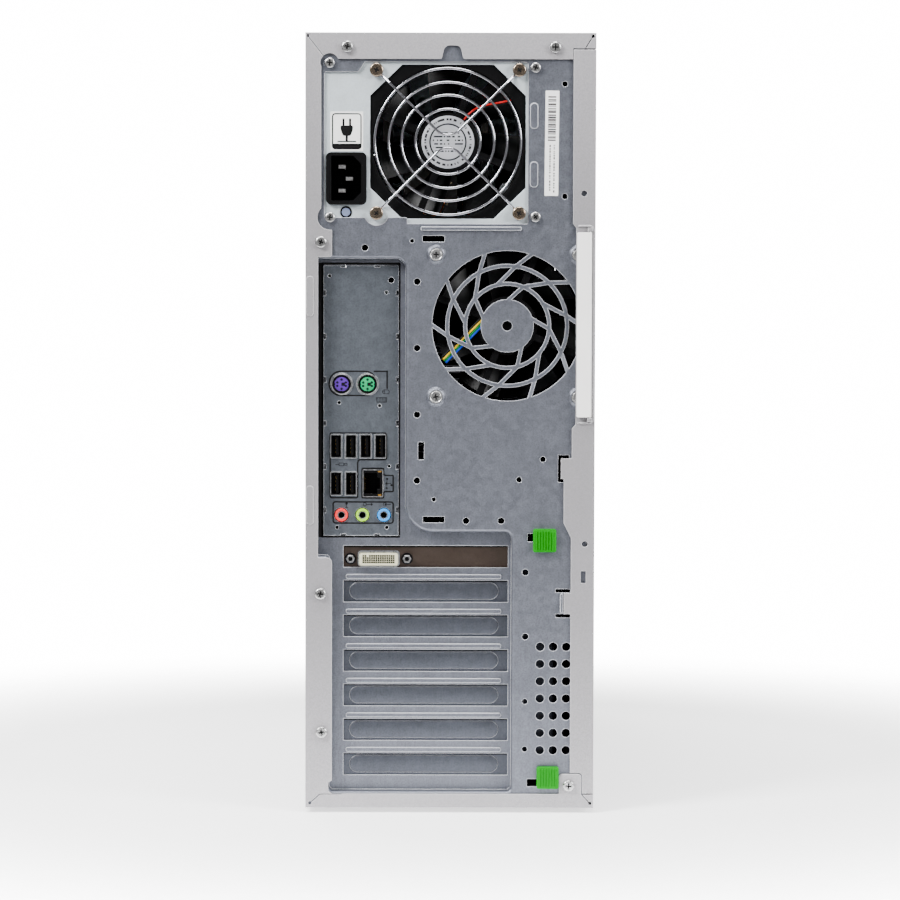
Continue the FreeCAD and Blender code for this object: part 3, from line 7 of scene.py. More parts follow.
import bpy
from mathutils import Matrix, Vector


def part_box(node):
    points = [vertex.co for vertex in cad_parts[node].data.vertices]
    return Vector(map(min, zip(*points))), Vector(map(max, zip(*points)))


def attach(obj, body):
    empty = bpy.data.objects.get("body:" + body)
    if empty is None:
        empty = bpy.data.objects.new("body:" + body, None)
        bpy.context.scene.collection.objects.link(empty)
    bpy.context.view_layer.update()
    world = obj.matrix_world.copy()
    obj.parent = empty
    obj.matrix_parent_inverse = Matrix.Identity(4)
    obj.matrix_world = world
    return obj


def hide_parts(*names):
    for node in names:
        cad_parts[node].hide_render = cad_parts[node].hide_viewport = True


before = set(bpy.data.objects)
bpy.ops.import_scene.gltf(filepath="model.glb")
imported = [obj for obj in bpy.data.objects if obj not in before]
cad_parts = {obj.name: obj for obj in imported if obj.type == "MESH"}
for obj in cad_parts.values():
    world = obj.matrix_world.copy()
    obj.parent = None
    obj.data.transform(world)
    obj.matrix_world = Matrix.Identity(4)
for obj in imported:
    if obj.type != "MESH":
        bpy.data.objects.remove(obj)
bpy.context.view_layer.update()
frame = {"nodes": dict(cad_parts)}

import logging
import math
import random
from dataclasses import dataclass, field
from enum import Enum
from typing import Any, Iterable, Sequence

import bmesh
import bpy
from mathutils import Matrix, Vector

log = logging.getLogger("tower")
MM = 0.001
Colour = tuple[float, float, float, float]
Point = Sequence[float]
Outline = list[tuple[float, float]]


class Body(Enum):
    """The rigid bodies that pieces ride on."""

    CHASSIS = "chassis"
    PSU_FAN = "psu_fan"
    REAR_FAN = "rear_fan"
    CPU_FAN = "cpu_fan"
    POWER = "power"


class Axis(Enum):
    """The direction that a turned or extruded shape runs along."""

    X = 0
    Y = 1
    Z = 2

    def basis(self) -> Matrix:
        """Turns a shape made along Z to run along this axis."""
        turns = {
            Axis.X: Matrix.Rotation(math.radians(90), 4, "Y"),
            Axis.Y: Matrix.Rotation(math.radians(-90), 4, "X"),
            Axis.Z: Matrix.Identity(4),
        }
        return turns[self]


def tint(red: float, green: float, blue: float) -> Colour:
    """Turns a display colour into linear light.

    Args:
        red: Red from 0 to 255.
        green: Green from 0 to 255.
        blue: Blue from 0 to 255.

    Returns:
        The linear colour with full alpha.
    """
    shares = [level / 255 for level in (red, green, blue)]
    linear = [s / 12.92 if s <= 0.04045 else ((s + 0.055) / 1.055) ** 2.4 for s in shares]
    return (linear[0], linear[1], linear[2], 1.0)


def rectangle(low: tuple[float, float], high: tuple[float, float]) -> Outline:
    """The four corners of a rectangle, from two opposite ones."""
    return [low, (high[0], low[1]), high, (low[0], high[1])]


def rectangle_about(x: float, z: float, half_x: float, half_z: float) -> Outline:
    """The four corners of a rectangle, from its middle and half sizes."""
    return rectangle((x - half_x, z - half_z), (x + half_x, z + half_z))


# ---------------------------------------------------------------- shader building
class Value:
    """A node socket that takes part in Python arithmetic."""

    def __init__(self, graph: "Graph", socket: bpy.types.NodeSocket) -> None:
        """Keeps the graph and the socket."""
        self.graph = graph
        self.socket = socket

    def _math(self, operation: str, first: Any, second: Any = None) -> "Value":
        """Adds one Math node.

        Args:
            operation: The node's operation.
            first: The first operand.
            second: The second operand, if the operation has one.

        Returns:
            The node's result.
        """
        return self.graph.value("ShaderNodeMath", {"operation": operation}, {0: first, 1: second})

    def __add__(self, other: Any) -> "Value":
        """Sum."""
        return self._math("ADD", self, other)

    def __radd__(self, other: Any) -> "Value":
        """Sum, reflected."""
        return self._math("ADD", other, self)

    def __sub__(self, other: Any) -> "Value":
        """Difference."""
        return self._math("SUBTRACT", self, other)

    def __rsub__(self, other: Any) -> "Value":
        """Difference, reflected."""
        return self._math("SUBTRACT", other, self)

    def __mul__(self, other: Any) -> "Value":
        """Product."""
        return self._math("MULTIPLY", self, other)

    def __rmul__(self, other: Any) -> "Value":
        """Product, reflected."""
        return self._math("MULTIPLY", other, self)

    def __truediv__(self, other: Any) -> "Value":
        """Quotient."""
        return self._math("DIVIDE", self, other)

    def __rtruediv__(self, other: Any) -> "Value":
        """Quotient, reflected."""
        return self._math("DIVIDE", other, self)

    def __gt__(self, other: Any) -> "Value":
        """One where this is the larger, else zero."""
        return self._math("GREATER_THAN", self, other)

    def __lt__(self, other: Any) -> "Value":
        """One where this is the smaller, else zero."""
        return self._math("LESS_THAN", self, other)

    def __abs__(self) -> "Value":
        """Magnitude."""
        return self._math("ABSOLUTE", self)

    def fraction(self) -> "Value":
        """The part after the point."""
        return self._math("FRACT", self)

    def whole(self) -> "Value":
        """The whole part."""
        return self._math("FLOOR", self)

    def most(self, other: Any) -> "Value":
        """The larger of two."""
        return self._math("MAXIMUM", self, other)

    def root(self) -> "Value":
        """Square root."""
        return self._math("SQRT", self)

    def remap(self, low: float, high: float, to_low: float = 0.0, to_high: float = 1.0) -> "Value":
        """Clamped linear change of range."""
        sockets = {"Value": self, "From Min": low, "From Max": high, "To Min": to_low, "To Max": to_high}
        return self.graph.value("ShaderNodeMapRange", {"clamp": True}, sockets)


class Graph:
    """A material's node tree under construction."""

    def __init__(self, tree: bpy.types.NodeTree) -> None:
        """Starts from an empty tree."""
        self.tree = tree
        tree.nodes.clear()

    def node(self, kind: str, settings: dict[str, Any], sockets: dict[Any, Any]) -> bpy.types.Node:
        """Adds any node.

        Args:
            kind: The node's type name.
            settings: Properties to set.
            sockets: Values or links by input name or number; None leaves an input alone.

        Returns:
            The new node.
        """
        made = self.tree.nodes.new(kind)
        for key, setting in settings.items():
            setattr(made, key, setting)
        for key, item in sockets.items():
            if isinstance(item, Value):
                self.tree.links.new(item.socket, made.inputs[key])
            elif item is not None:
                made.inputs[key].default_value = item
        return made

    def value(self, kind: str, settings: dict[str, Any], sockets: dict[Any, Any], output: Any = 0) -> Value:
        """Adds a node and returns one of its outputs."""
        return Value(self, self.node(kind, settings, sockets).outputs[output])

    def place(self) -> Value:
        """The point on the surface, in metres."""
        return self.value("ShaderNodeTexCoord", {}, {}, "Object")

    def split(self, vector: Value) -> tuple[Value, Value, Value]:
        """The X, Y and Z of a vector."""
        outputs = self.node("ShaderNodeSeparateXYZ", {}, {0: vector}).outputs
        return Value(self, outputs[0]), Value(self, outputs[1]), Value(self, outputs[2])

    def stretched(self, vector: Value, scale: Point) -> Value:
        """The vector scaled along each axis."""
        return self.value("ShaderNodeMapping", {}, {"Vector": vector, "Scale": scale})

    def noise(self, vector: Value, scale: float, detail: float = 2.0, rough: float = 0.5) -> Value:
        """Fractal noise from 0 to 1."""
        sockets = {"Vector": vector, "Scale": scale, "Detail": detail, "Roughness": rough}
        return self.value("ShaderNodeTexNoise", {}, sockets)

    def cells(self, vector: Value, scale: float, feature: str = "F1", output: str = "Distance") -> Value:
        """Voronoi cells."""
        sockets = {"Vector": vector, "Scale": scale}
        return self.value("ShaderNodeTexVoronoi", {"feature": feature}, sockets, output)

    def chance(self, vector: Value) -> Value:
        """A random number for each distinct vector."""
        return self.value("ShaderNodeTexWhiteNoise", {"noise_dimensions": "3D"}, {"Vector": vector})

    def join(self, x: Any, y: Any, z: Any) -> Value:
        """A vector from three numbers."""
        return self.value("ShaderNodeCombineXYZ", {}, {0: x, 1: y, 2: z})

    def corner(self, radius: float) -> Value:
        """How near a sharp corner is, from 0 on a flat to 1 at the corner, within a radius in millimetres."""
        rounded = self.value("ShaderNodeBevel", {"samples": 6}, {"Radius": radius * MM})
        true = self.value("ShaderNodeNewGeometry", {}, {}, "Normal")
        return self.value("ShaderNodeVectorMath", {"operation": "DISTANCE"}, {0: rounded, 1: true}, "Value")

    def mixed(self, factor: Any, first: Any, second: Any) -> Value:
        """One colour over another."""
        return self.value("ShaderNodeMix", {"data_type": "RGBA"}, {0: factor, 6: first, 7: second}, 2)


@dataclass
class Skin:
    """What a finish gives its shader: values that may change over the surface, and constants."""

    colour: Any
    rough: Any
    metal: Any = 0.0
    height: Any = None
    depth: float = 0.05
    strength: float = 0.5
    fixed: dict[str, Any] = field(default_factory=dict)


@dataclass(frozen=True)
class Finish:
    """A named surface finish, made once and shared."""

    name: str
    shade: Colour

    @property
    def edge(self) -> float:
        """The rounding that its edges seem to have, in millimetres."""
        return 0.0

    def skin(self, g: Graph) -> Skin:
        """Describes the surface."""
        raise NotImplementedError

    def material(self) -> bpy.types.Material:
        """Returns the finish's material, built the first time it is wanted."""
        found = bpy.data.materials.get(self.name)
        if found is not None:
            return found
        made = bpy.data.materials.new(self.name)
        made.use_nodes = True
        g = Graph(made.node_tree)
        skin = self.skin(g)
        normal = None
        if self.edge > 0:
            normal = g.value("ShaderNodeBevel", {"samples": 4}, {"Radius": self.edge * MM})
        if skin.height is not None:
            relief = {"Height": skin.height, "Distance": skin.depth * MM, "Strength": skin.strength}
            normal = g.value("ShaderNodeBump", {}, {**relief, "Normal": normal}, "Normal")
        sockets = {"Base Color": skin.colour, "Roughness": skin.rough, "Metallic": skin.metal}
        sockets["Normal"] = normal
        sockets.update(skin.fixed)
        shader = g.value("ShaderNodeBsdfPrincipled", {}, sockets)
        g.node("ShaderNodeOutputMaterial", {}, {"Surface": shader})
        made.diffuse_color = self.shade
        return made


def scaled(colour: Colour, factor: float) -> Colour:
    """A lighter or darker version of a colour."""
    return (min(1.0, colour[0] * factor), min(1.0, colour[1] * factor), min(1.0, colour[2] * factor), 1.0)


@dataclass(frozen=True)
class PowderPaint(Finish):
    """Powder-coated sheet: a fine speckle and orange-peel, with painted light making it paler towards the top
    and the floor, and painted highlights along its edges.
    """

    @property
    def edge(self) -> float:
        """The rounding that its edges seem to have, in millimetres."""
        return 0.7

    def skin(self, g: Graph) -> Skin:
        """Describes the surface."""
        spot = g.place()
        _, _, z = g.split(spot)
        speckle = g.noise(spot, 1300.0, 3.0, 0.75).remap(0.36, 0.64)
        cloud = g.noise(spot, 9.0, 3.0)
        # Painted light: the paint turns paler towards the top and the bottom of the case.
        painted_light_tone = g.mixed(abs(z - 0.24).remap(0.12, 0.23), self.shade, scaled(self.shade, 1.45))
        tone = g.mixed(cloud.remap(0.3, 0.7, 0.0, 0.35), painted_light_tone, scaled(self.shade, 0.93))
        tone = g.mixed(speckle.remap(0.0, 1.0, 0.0, 0.5), tone, scaled(self.shade, 0.72))
        # Painted highlight: the paint turns near-white along its rounded edges.
        colour = g.mixed(g.corner(0.6).remap(0.12, 0.6, 0.0, 0.7), tone, tint(235, 234, 236))
        peel = g.noise(spot, 700.0, 2.0)
        return Skin(colour, speckle.remap(0.0, 1.0, 0.42, 0.58), 0.0, peel, 0.05, 0.25)


@dataclass(frozen=True)
class ZincSheet(Finish):
    """Galvanised sheet: mottling, rolling grain along Z, speckle, faint stains and painted highlights along
    its rounded edges.
    """

    metal: float = 0.75
    grain: float = 1.0
    # How strongly painted highlights whiten the rounded edges.
    painted_edge_highlight: float = 1.0

    @property
    def edge(self) -> float:
        """The rounding that its edges seem to have, in millimetres."""
        return 0.7

    def skin(self, g: Graph) -> Skin:
        """Describes the surface."""
        spot = g.place()
        grain = g.noise(g.stretched(spot, (700.0, 700.0, 110.0)), 1.0, 3.0, 0.65)
        speck = g.noise(spot, 1100.0, 2.0, 0.7)
        patch, _, _ = g.split(g.cells(spot, 340.0, "F1", "Color"))
        stain = g.noise(spot, 26.0, 5.0, 0.65)
        cloud = g.noise(spot, 7.0, 2.0)
        streak = grain.remap(0.30, 0.70, 0.0, 0.6 * self.grain)
        tone = g.mixed(streak, scaled(self.shade, 1.14), scaled(self.shade, 0.82))
        tone = g.mixed(patch.remap(0.0, 1.0, 0.0, 0.3 * self.grain), tone, scaled(self.shade, 1.5))
        tone = g.mixed(speck.remap(0.42, 0.72, 0.0, 0.6 * self.grain), tone, scaled(self.shade, 0.55))
        tone = g.mixed(stain.remap(0.52, 0.74, 0.0, 0.35), tone, scaled(self.shade, 0.66))
        tone = g.mixed(cloud.remap(0.35, 0.75, 0.0, 0.25), tone, scaled(self.shade, 1.4))
        # Painted highlight: the sheet turns near-white along its rounded edges.
        bright = g.corner(0.55).remap(0.10, 0.55, 0.0, self.painted_edge_highlight)
        tone = g.mixed(bright, tone, tint(226, 228, 234))
        rough = (grain * 0.16 + patch * 0.10 + speck * 0.12).remap(0.08, 0.30, 0.34, 0.52)
        return Skin(tone, rough, bright.remap(0.0, 1.0, self.metal, 0.1), grain + speck * 0.8, 0.03, 0.35)


@dataclass(frozen=True)
class PolishedMetal(Finish):
    """Bright plated wire and screws, with hairline scuffs."""

    rough: float = 0.16

    def skin(self, g: Graph) -> Skin:
        """Describes the surface."""
        spot = g.place()
        scuff = g.noise(spot, 900.0, 4.0, 0.7)
        haze = g.noise(spot, 120.0, 2.0)
        colour = g.mixed(haze.remap(0.35, 0.7, 0.0, 0.4), self.shade, scaled(self.shade, 0.8))
        return Skin(colour, scuff.remap(0.3, 0.7, self.rough * 0.7, self.rough * 1.7), 1.0, scuff, 0.01, 0.15)


@dataclass(frozen=True)
class MouldedPlastic(Finish):
    """Moulded plastic with a fine spark-eroded texture and a little handling sheen."""

    rough: float = 0.45
    grain: float = 2600.0
    bump: float = 0.25
    shine: float = 0.5

    @property
    def edge(self) -> float:
        """The rounding that its edges seem to have, in millimetres."""
        return 0.25

    def skin(self, g: Graph) -> Skin:
        """Describes the surface."""
        spot = g.place()
        pits = g.noise(spot, self.grain, 2.0, 0.6)
        worn = g.noise(spot, 34.0, 3.0)
        colour = g.mixed(worn.remap(0.3, 0.75, 0.0, 0.35), self.shade, scaled(self.shade, 0.86))
        rough = (pits * 0.10 + worn * 0.12).remap(0.05, 0.17, self.rough - 0.06, self.rough + 0.08)
        return Skin(colour, rough, 0.0, pits, 0.03, self.bump, {"Specular IOR Level": self.shine})


@dataclass(frozen=True)
class CircuitBoard(Finish):
    """Solder-masked board with runs of tracks, vias and bright pads, in two chosen directions."""

    across: Axis = Axis.Y
    along: Axis = Axis.Z
    pitch: float = 0.9

    def skin(self, g: Graph) -> Skin:
        """Describes the surface."""
        spot = g.place()
        parts = g.split(spot)
        u, v = parts[self.across.value], parts[self.along.value]
        cell = 9.0 * self.pitch * MM
        block = g.join((u / cell).whole(), (v / cell).whole(), 0.0)
        way = g.chance(block) > 0.5
        lane_u = abs((u / (self.pitch * MM)).fraction() - 0.5) < 0.16
        lane_v = abs((v / (self.pitch * MM)).fraction() - 0.5) < 0.16
        track = way * lane_u + (1.0 - way) * lane_v
        used = g.noise(spot, 55.0, 1.0) > 0.46
        track = track * used
        near = g.cells(spot, 300.0) < 0.16
        pad = near * (g.noise(spot, 90.0, 1.0) > 0.5)
        mask = g.mixed(track, self.shade, scaled(self.shade, 1.3))
        colour = g.mixed(pad, mask, tint(196, 186, 150))
        rough = pad.remap(0.0, 1.0, 0.34, 0.25)
        varnish = {"Coat Weight": 0.3, "Coat Roughness": 0.2}
        return Skin(colour, rough, pad * 0.9, track + pad * 0.5, 0.04, 0.35, varnish)


@dataclass(frozen=True)
class DrawnAluminium(Finish):
    """Extruded or machined aluminium with fine drawing lines along one axis."""

    lines: tuple[float, float, float] = (900.0, 60.0, 900.0)

    def skin(self, g: Graph) -> Skin:
        """Describes the surface."""
        spot = g.place()
        drawn = g.noise(g.stretched(spot, self.lines), 1.0, 3.0, 0.6)
        dull = g.noise(spot, 40.0, 2.0)
        colour = g.mixed(drawn.remap(0.3, 0.7, 0.0, 0.5), self.shade, scaled(self.shade, 0.8))
        rough = (drawn * 0.2 + dull * 0.2).remap(0.1, 0.3, 0.26, 0.46)
        return Skin(colour, rough, 1.0, drawn, 0.02, 0.3)


@dataclass(frozen=True)
class Rubber(Finish):
    """Moulded rubber, matt and slightly dusty."""

    def skin(self, g: Graph) -> Skin:
        """Describes the surface."""
        spot = g.place()
        dust = g.noise(spot, 220.0, 4.0, 0.7)
        colour = g.mixed(dust.remap(0.45, 0.8, 0.0, 0.4), self.shade, tint(96, 94, 92))
        return Skin(colour, dust.remap(0.3, 0.7, 0.70, 0.9), 0.0, dust, 0.06, 0.4)


@dataclass(frozen=True)
class PaperLabel(Finish):
    """Printed label stock with rows of short, wordless marks."""

    ink: Colour = (0.02, 0.02, 0.02, 1.0)
    row: float = 3.4
    mark: float = 2.6

    def skin(self, g: Graph) -> Skin:
        """Describes the surface."""
        spot = g.place()
        x, y, z = g.split(spot)
        fibre = g.noise(spot, 1200.0, 2.0)
        line = z / (self.row * MM)
        word = g.chance(g.join(((x + y) / (self.mark * MM)).whole(), 0.0, line.whole()))
        mark = (abs(line.fraction() - 0.5) < 0.2) * (word > 0.35)
        colour = g.mixed(mark, g.mixed(fibre * 0.12, self.shade, scaled(self.shade, 0.8)), self.ink)
        return Skin(colour, fibre.remap(0.3, 0.7, 0.38, 0.5), 0.0, fibre, 0.01, 0.2)


@dataclass(frozen=True)
class RoundLabel(Finish):
    """A silver disc label with printed rings and rows of small generic marks about its centre."""

    centre: tuple[float, float] = (0.0, 0.0)

    def skin(self, g: Graph) -> Skin:
        """Describes the surface."""
        spot = g.place()
        x, _, z = g.split(spot)
        u, v = x - self.centre[0] * MM, z - self.centre[1] * MM
        radius = (u * u + v * v).root()
        turn = g.value("ShaderNodeMath", {"operation": "ARCTAN2"}, {0: v, 1: u})
        ring = abs(radius - 0.0104) < 0.00045
        rim = g.chance(g.join((turn * 22.0).whole(), 3.0, 0.0)) > 0.45
        arc = (abs(radius - 0.0132) < 0.0006) * rim
        row = abs((v / 0.0021).fraction() - 0.5) < 0.22
        word = g.chance(g.join((u / 0.0008).whole(), (v / 0.0021).whole(), 5.0)) > 0.4
        text = row * word * (radius < 0.0088) * (abs(v) < 0.0058)
        mark = ring.most(arc).most(text)
        sheen = g.noise(g.stretched(spot, (300.0, 300.0, 1500.0)), 1.0, 2.0)
        base = g.mixed(sheen.remap(0.3, 0.7, 0.0, 0.4), self.shade, scaled(self.shade, 0.8))
        return Skin(g.mixed(mark, base, tint(40, 40, 44)), sheen.remap(0.3, 0.7, 0.3, 0.42), 0.5, None)


@dataclass(frozen=True)
class Lamp(Finish):
    """A small lit lens, brightest at its middle."""

    glow: float = 1.5

    def skin(self, g: Graph) -> Skin:
        """Describes the surface."""
        spot = g.place()
        cloud = g.noise(spot, 500.0, 2.0)
        colour = g.mixed(cloud.remap(0.3, 0.7, 0.0, 0.5), self.shade, scaled(self.shade, 0.7))
        return Skin(colour, 0.2, 0.0, None, fixed={"Emission Color": colour, "Emission Strength": self.glow})


# ---------------------------------------------------------------- shape building
class Stock:
    """A mesh in the making, at its final place, in millimetres until it becomes a piece."""

    def __init__(self) -> None:
        """Starts empty."""
        self.mesh = bmesh.new()

    def _bevel(self, verts: Iterable[bmesh.types.BMVert], offset: float, segments: int,
               sharp: float = 30.0) -> None:
        """Rounds the sharp edges among some vertices.

        Args:
            verts: The vertices whose edges are looked at.
            offset: The bevel's width.
            segments: How many steps it has.
            sharp: The angle in degrees above which an edge counts as sharp.
        """
        inside = set(verts)
        edges = []
        for edge in {e for v in inside for e in v.link_edges}:
            if edge.other_vert(edge.verts[0]) in inside and edge.calc_face_angle(0.0) > math.radians(sharp):
                edges.append(edge)
        if offset > 0 and edges:
            bmesh.ops.bevel(self.mesh, geom=edges, offset=offset, offset_type="OFFSET", affect="EDGES",
                            segments=segments, profile=0.5, material=-1, clamp_overlap=True)

    def block(self, low: Point, high: Point, bevel: float = 0.0, segments: int = 2) -> "Stock":
        """Adds a box between two corners, with its edges rounded."""
        centre = [(a + b) / 2 for a, b in zip(low, high)]
        size = [b - a for a, b in zip(low, high)]
        matrix = Matrix.Translation(centre) @ Matrix.Diagonal((*size, 1.0))
        made = bmesh.ops.create_cube(self.mesh, size=1.0, matrix=matrix)
        self._bevel(made["verts"], bevel, segments)
        return self

    def rod(self, centre: Point, radius: float, length: float, axis: Axis = Axis.Y, bevel: float = 0.0,
            steps: int = 40, tip: float | None = None) -> "Stock":
        """Adds a cylinder or cone frustum that starts at a point and runs along an axis.

        Args:
            centre: The middle of its first end.
            radius: The first end's radius.
            length: How far it runs; negative runs backwards.
            axis: Its direction.
            bevel: The rounding of its end edges.
            steps: How many sides it has.
            tip: The far end's radius, if it isn't the same.

        Returns:
            This stock.
        """
        shift = Matrix.Translation(centre) @ axis.basis() @ Matrix.Translation((0, 0, length / 2))
        far = radius if tip is None else tip
        ends = (radius, far) if length > 0 else (far, radius)
        made = bmesh.ops.create_cone(self.mesh, cap_ends=True, segments=steps, radius1=ends[0],
                                     radius2=ends[1], depth=abs(length), matrix=shift)
        self._bevel(made["verts"], bevel, 2)
        return self

    def turned(self, profile: Sequence[tuple[float, float]], centre: Point, axis: Axis = Axis.Y,
               steps: int = 64) -> "Stock":
        """Spins a closed profile of (radius, along) points about an axis through a point.

        Args:
            profile: Radius and distance along the axis, in order.
            centre: Where the distance along is nought.
            axis: The axis of the spin.
            steps: How many steps the full turn has.

        Returns:
            This stock.
        """
        basis = Matrix.Translation(centre) @ axis.basis()
        verts = [self.mesh.verts.new(basis @ Vector((r, 0.0, a))) for r, a in profile]
        edges = [self.mesh.edges.new((verts[i], verts[(i + 1) % len(verts)])) for i in range(len(verts))]
        line = (basis.to_3x3() @ Vector((0, 0, 1))).normalized()
        made = bmesh.ops.spin(self.mesh, geom=verts + edges, cent=centre, axis=line, angle=math.tau,
                              steps=steps, use_merge=True, use_duplicate=False)
        found = {v for v in made["geom_last"] if isinstance(v, bmesh.types.BMVert)} | set(verts)
        bmesh.ops.remove_doubles(self.mesh, verts=list(found), dist=1e-5)
        return self

    def plate(self, corners: Sequence[tuple[float, ...]], span: tuple[float, float], rounding: float = 0.0,
              axis: Axis = Axis.Y, segments: int = 4, edge: float = 0.0) -> "Stock":
        """Extrudes an outline between two levels of an axis.

        Args:
            corners: The outline's corners in the two other axes, in X, Y, Z order.
            span: The two levels.
            rounding: The radius of the outline's corners.
            axis: The extrusion's axis.
            segments: How many steps each rounded corner has.
            edge: The rounding of the sharp edges.

        Returns:
            This stock.
        """
        face = self._face(corners, span[0], rounding, axis, segments)
        top = self._raise([face], span, axis)
        if edge > 0:
            self._bevel(top + list(face.verts), edge, 3, 60.0)
        return self

    def _face(self, corners: Sequence[tuple[float, ...]], level: float, rounding: float, axis: Axis,
              segments: int) -> bmesh.types.BMFace:
        """Makes one flat face with rounded corners.

        Args:
            corners: Its corners in the two other axes.
            level: Its level on the axis.
            rounding: The radius of its corners.
            axis: The axis that it faces along.
            segments: How many steps each corner has.

        Returns:
            The face.
        """
        verts = []
        for corner in corners:
            point = list(corner[:2])
            point.insert(axis.value, level)
            verts.append(self.mesh.verts.new(point))
        before = set(self.mesh.faces)
        face = self.mesh.faces.new(verts)
        if rounding > 0:
            bmesh.ops.bevel(self.mesh, geom=verts, offset=rounding, offset_type="OFFSET", affect="VERTICES",
                            segments=segments, profile=0.5, material=-1, clamp_overlap=True)
            face = next(f for f in self.mesh.faces if f not in before)
        return face

    def _raise(self, faces: Sequence[bmesh.types.BMFace], span: tuple[float, float],
               axis: Axis) -> list[bmesh.types.BMVert]:
        """Extrudes flat faces from the first level to the second and keeps both ends."""
        move = [0.0, 0.0, 0.0]
        move[axis.value] = span[1] - span[0]
        made = bmesh.ops.extrude_face_region(self.mesh, geom=list(faces), use_keep_orig=True)
        top = [v for v in made["geom"] if isinstance(v, bmesh.types.BMVert)]
        bmesh.ops.translate(self.mesh, vec=move, verts=top)
        return top

    def ring(self, corners: Sequence[tuple[float, float]], width: float, span: tuple[float, float],
             rounding: float, axis: Axis = Axis.Y) -> "Stock":
        """Adds a flat closed outline of even width between two levels of an axis.

        Args:
            corners: The outline's outer corners in the two other axes, in X, Y, Z order.
            width: The width of its line.
            span: The two levels.
            rounding: The radius of its corners.
            axis: The axis that it faces along.

        Returns:
            This stock.
        """
        face = self._face(corners, span[0], rounding, axis, 5)
        band = bmesh.ops.inset_region(self.mesh, faces=[face], thickness=width, use_boundary=True,
                                      use_even_offset=True)["faces"]
        bmesh.ops.delete(self.mesh, geom=[face], context="FACES")
        self._raise(band, span, axis)
        return self

    def wire(self, points: Sequence[Point], radius: float, order: int = 3, sides: int = 3) -> "Stock":
        """Adds a round wire along a smooth line with those points as its control points.

        Args:
            points: The line's control points.
            radius: The wire's radius.
            order: The spline's order.
            sides: The bevel's resolution.

        Returns:
            This stock.
        """
        curve = bpy.data.curves.new("wire_line", "CURVE")
        curve.dimensions = "3D"
        spline = curve.splines.new("NURBS")
        spline.points.add(len(points) - 1)
        for target, point in zip(spline.points, points):
            target.co = (*point, 1.0)
        spline.order_u = order
        spline.use_endpoint_u = True
        spline.resolution_u = 6
        curve.bevel_depth = radius
        curve.bevel_resolution = sides
        curve.use_fill_caps = True
        holder = bpy.data.objects.new("wire_line", curve)
        bpy.context.scene.collection.objects.link(holder)
        bpy.context.view_layer.update()
        tube = bpy.data.meshes.new_from_object(holder.evaluated_get(bpy.context.evaluated_depsgraph_get()))
        self.mesh.from_mesh(tube)
        bpy.data.objects.remove(holder)
        bpy.data.curves.remove(curve)
        bpy.data.meshes.remove(tube)
        return self

    def turn(self, angle: float, centre: Point, axis: Axis = Axis.Y) -> "Stock":
        """Turns the whole mesh by an angle in degrees about an axis through a point."""
        turn = Matrix.Rotation(math.radians(angle), 3, axis.name)
        bmesh.ops.rotate(self.mesh, cent=centre, matrix=turn, verts=list(self.mesh.verts))
        return self

    def piece(self, name: str, body: Body, finish: Finish, slot: str, stands_for: Sequence[str] = (),
              sharp: float = 35.0) -> bpy.types.Object:
        """Makes the stock a finished piece of the object.

        Args:
            name: The piece's name.
            body: The body that it rides on.
            finish: Its finish.
            slot: A material slot's name; not used.
            stands_for: The nodes that it is shown in place of.
            sharp: Edges above this angle in degrees stay crisp.

        Returns:
            The new object.
        """
        bmesh.ops.remove_doubles(self.mesh, verts=list(self.mesh.verts), dist=1e-4)
        bmesh.ops.recalc_face_normals(self.mesh, faces=list(self.mesh.faces))
        bmesh.ops.scale(self.mesh, vec=(MM, MM, MM), verts=list(self.mesh.verts))
        data = bpy.data.meshes.new(name)
        self.mesh.to_mesh(data)
        self.mesh.free()
        data.polygons.foreach_set("use_smooth", [True] * len(data.polygons))
        data.set_sharp_from_angle(angle=math.radians(sharp))
        made = bpy.data.objects.new(name, data)
        bpy.context.scene.collection.objects.link(made)
        data.materials.append(finish.material())
        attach(made, body.value)
        if stands_for:
            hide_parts(*stands_for)
        log.info("%s: %d faces on %s", name, len(data.polygons), body.value)
        return made


@dataclass(frozen=True)
class Room:
    """A node's box in millimetres."""

    low: tuple[float, float, float]
    high: tuple[float, float, float]

    @classmethod
    def of(cls, node: str) -> "Room":
        """The box of a node at rest."""
        low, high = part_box(node)
        return cls(tuple(c / MM for c in low), tuple(c / MM for c in high))

    @property
    def mid(self) -> tuple[float, float, float]:
        """The box's centre."""
        return tuple((a + b) / 2 for a, b in zip(self.low, self.high))


# ---------------------------------------------------------------- finishes of this object
PAINT = PowderPaint("paint_warm_grey", tint(134, 132, 135))
ZINC = ZincSheet("zinc_sheet", tint(106, 109, 118))
# A darker copy of the zinc: painted shade of the recess on the slot covers and the card retainer.
ZINC_COVER_SHADED = ZincSheet("zinc_slot_cover", tint(70, 73, 81), 0.75, 0.9, 0.55)
ZINC_FLAT = ZincSheet("zinc_flat", tint(106, 109, 118), painted_edge_highlight=0.0)
PSU_PLATE = ZincSheet("psu_plate", tint(200, 209, 214), 0.5, 0.3, 0.6)
SHIELD = ZincSheet("shield_plate", tint(88, 93, 100), 0.7, 0.9)
# Painted reflection: the bright nickel bracket is tinted dark brown for the dark surroundings that it
# mirrors.
BRACKET = ZincSheet("bracket_dark_nickel", tint(54, 44, 38), 0.5, 0.5, 0.35)
CHROME = PolishedMetal("bright_wire", tint(172, 172, 178), 0.12)
SCREW = PolishedMetal("screw_zinc", tint(190, 190, 190), 0.26)
PORT_METAL = PolishedMetal("socket_shell", tint(196, 198, 200), 0.28)
BRASS = PolishedMetal("contact_gold", tint(212, 175, 96), 0.22)
COPPER = PolishedMetal("winding_copper", tint(184, 106, 62), 0.35)
BLACK = MouldedPlastic("plastic_flat_black", tint(9, 9, 10), 0.6, shine=0.05)
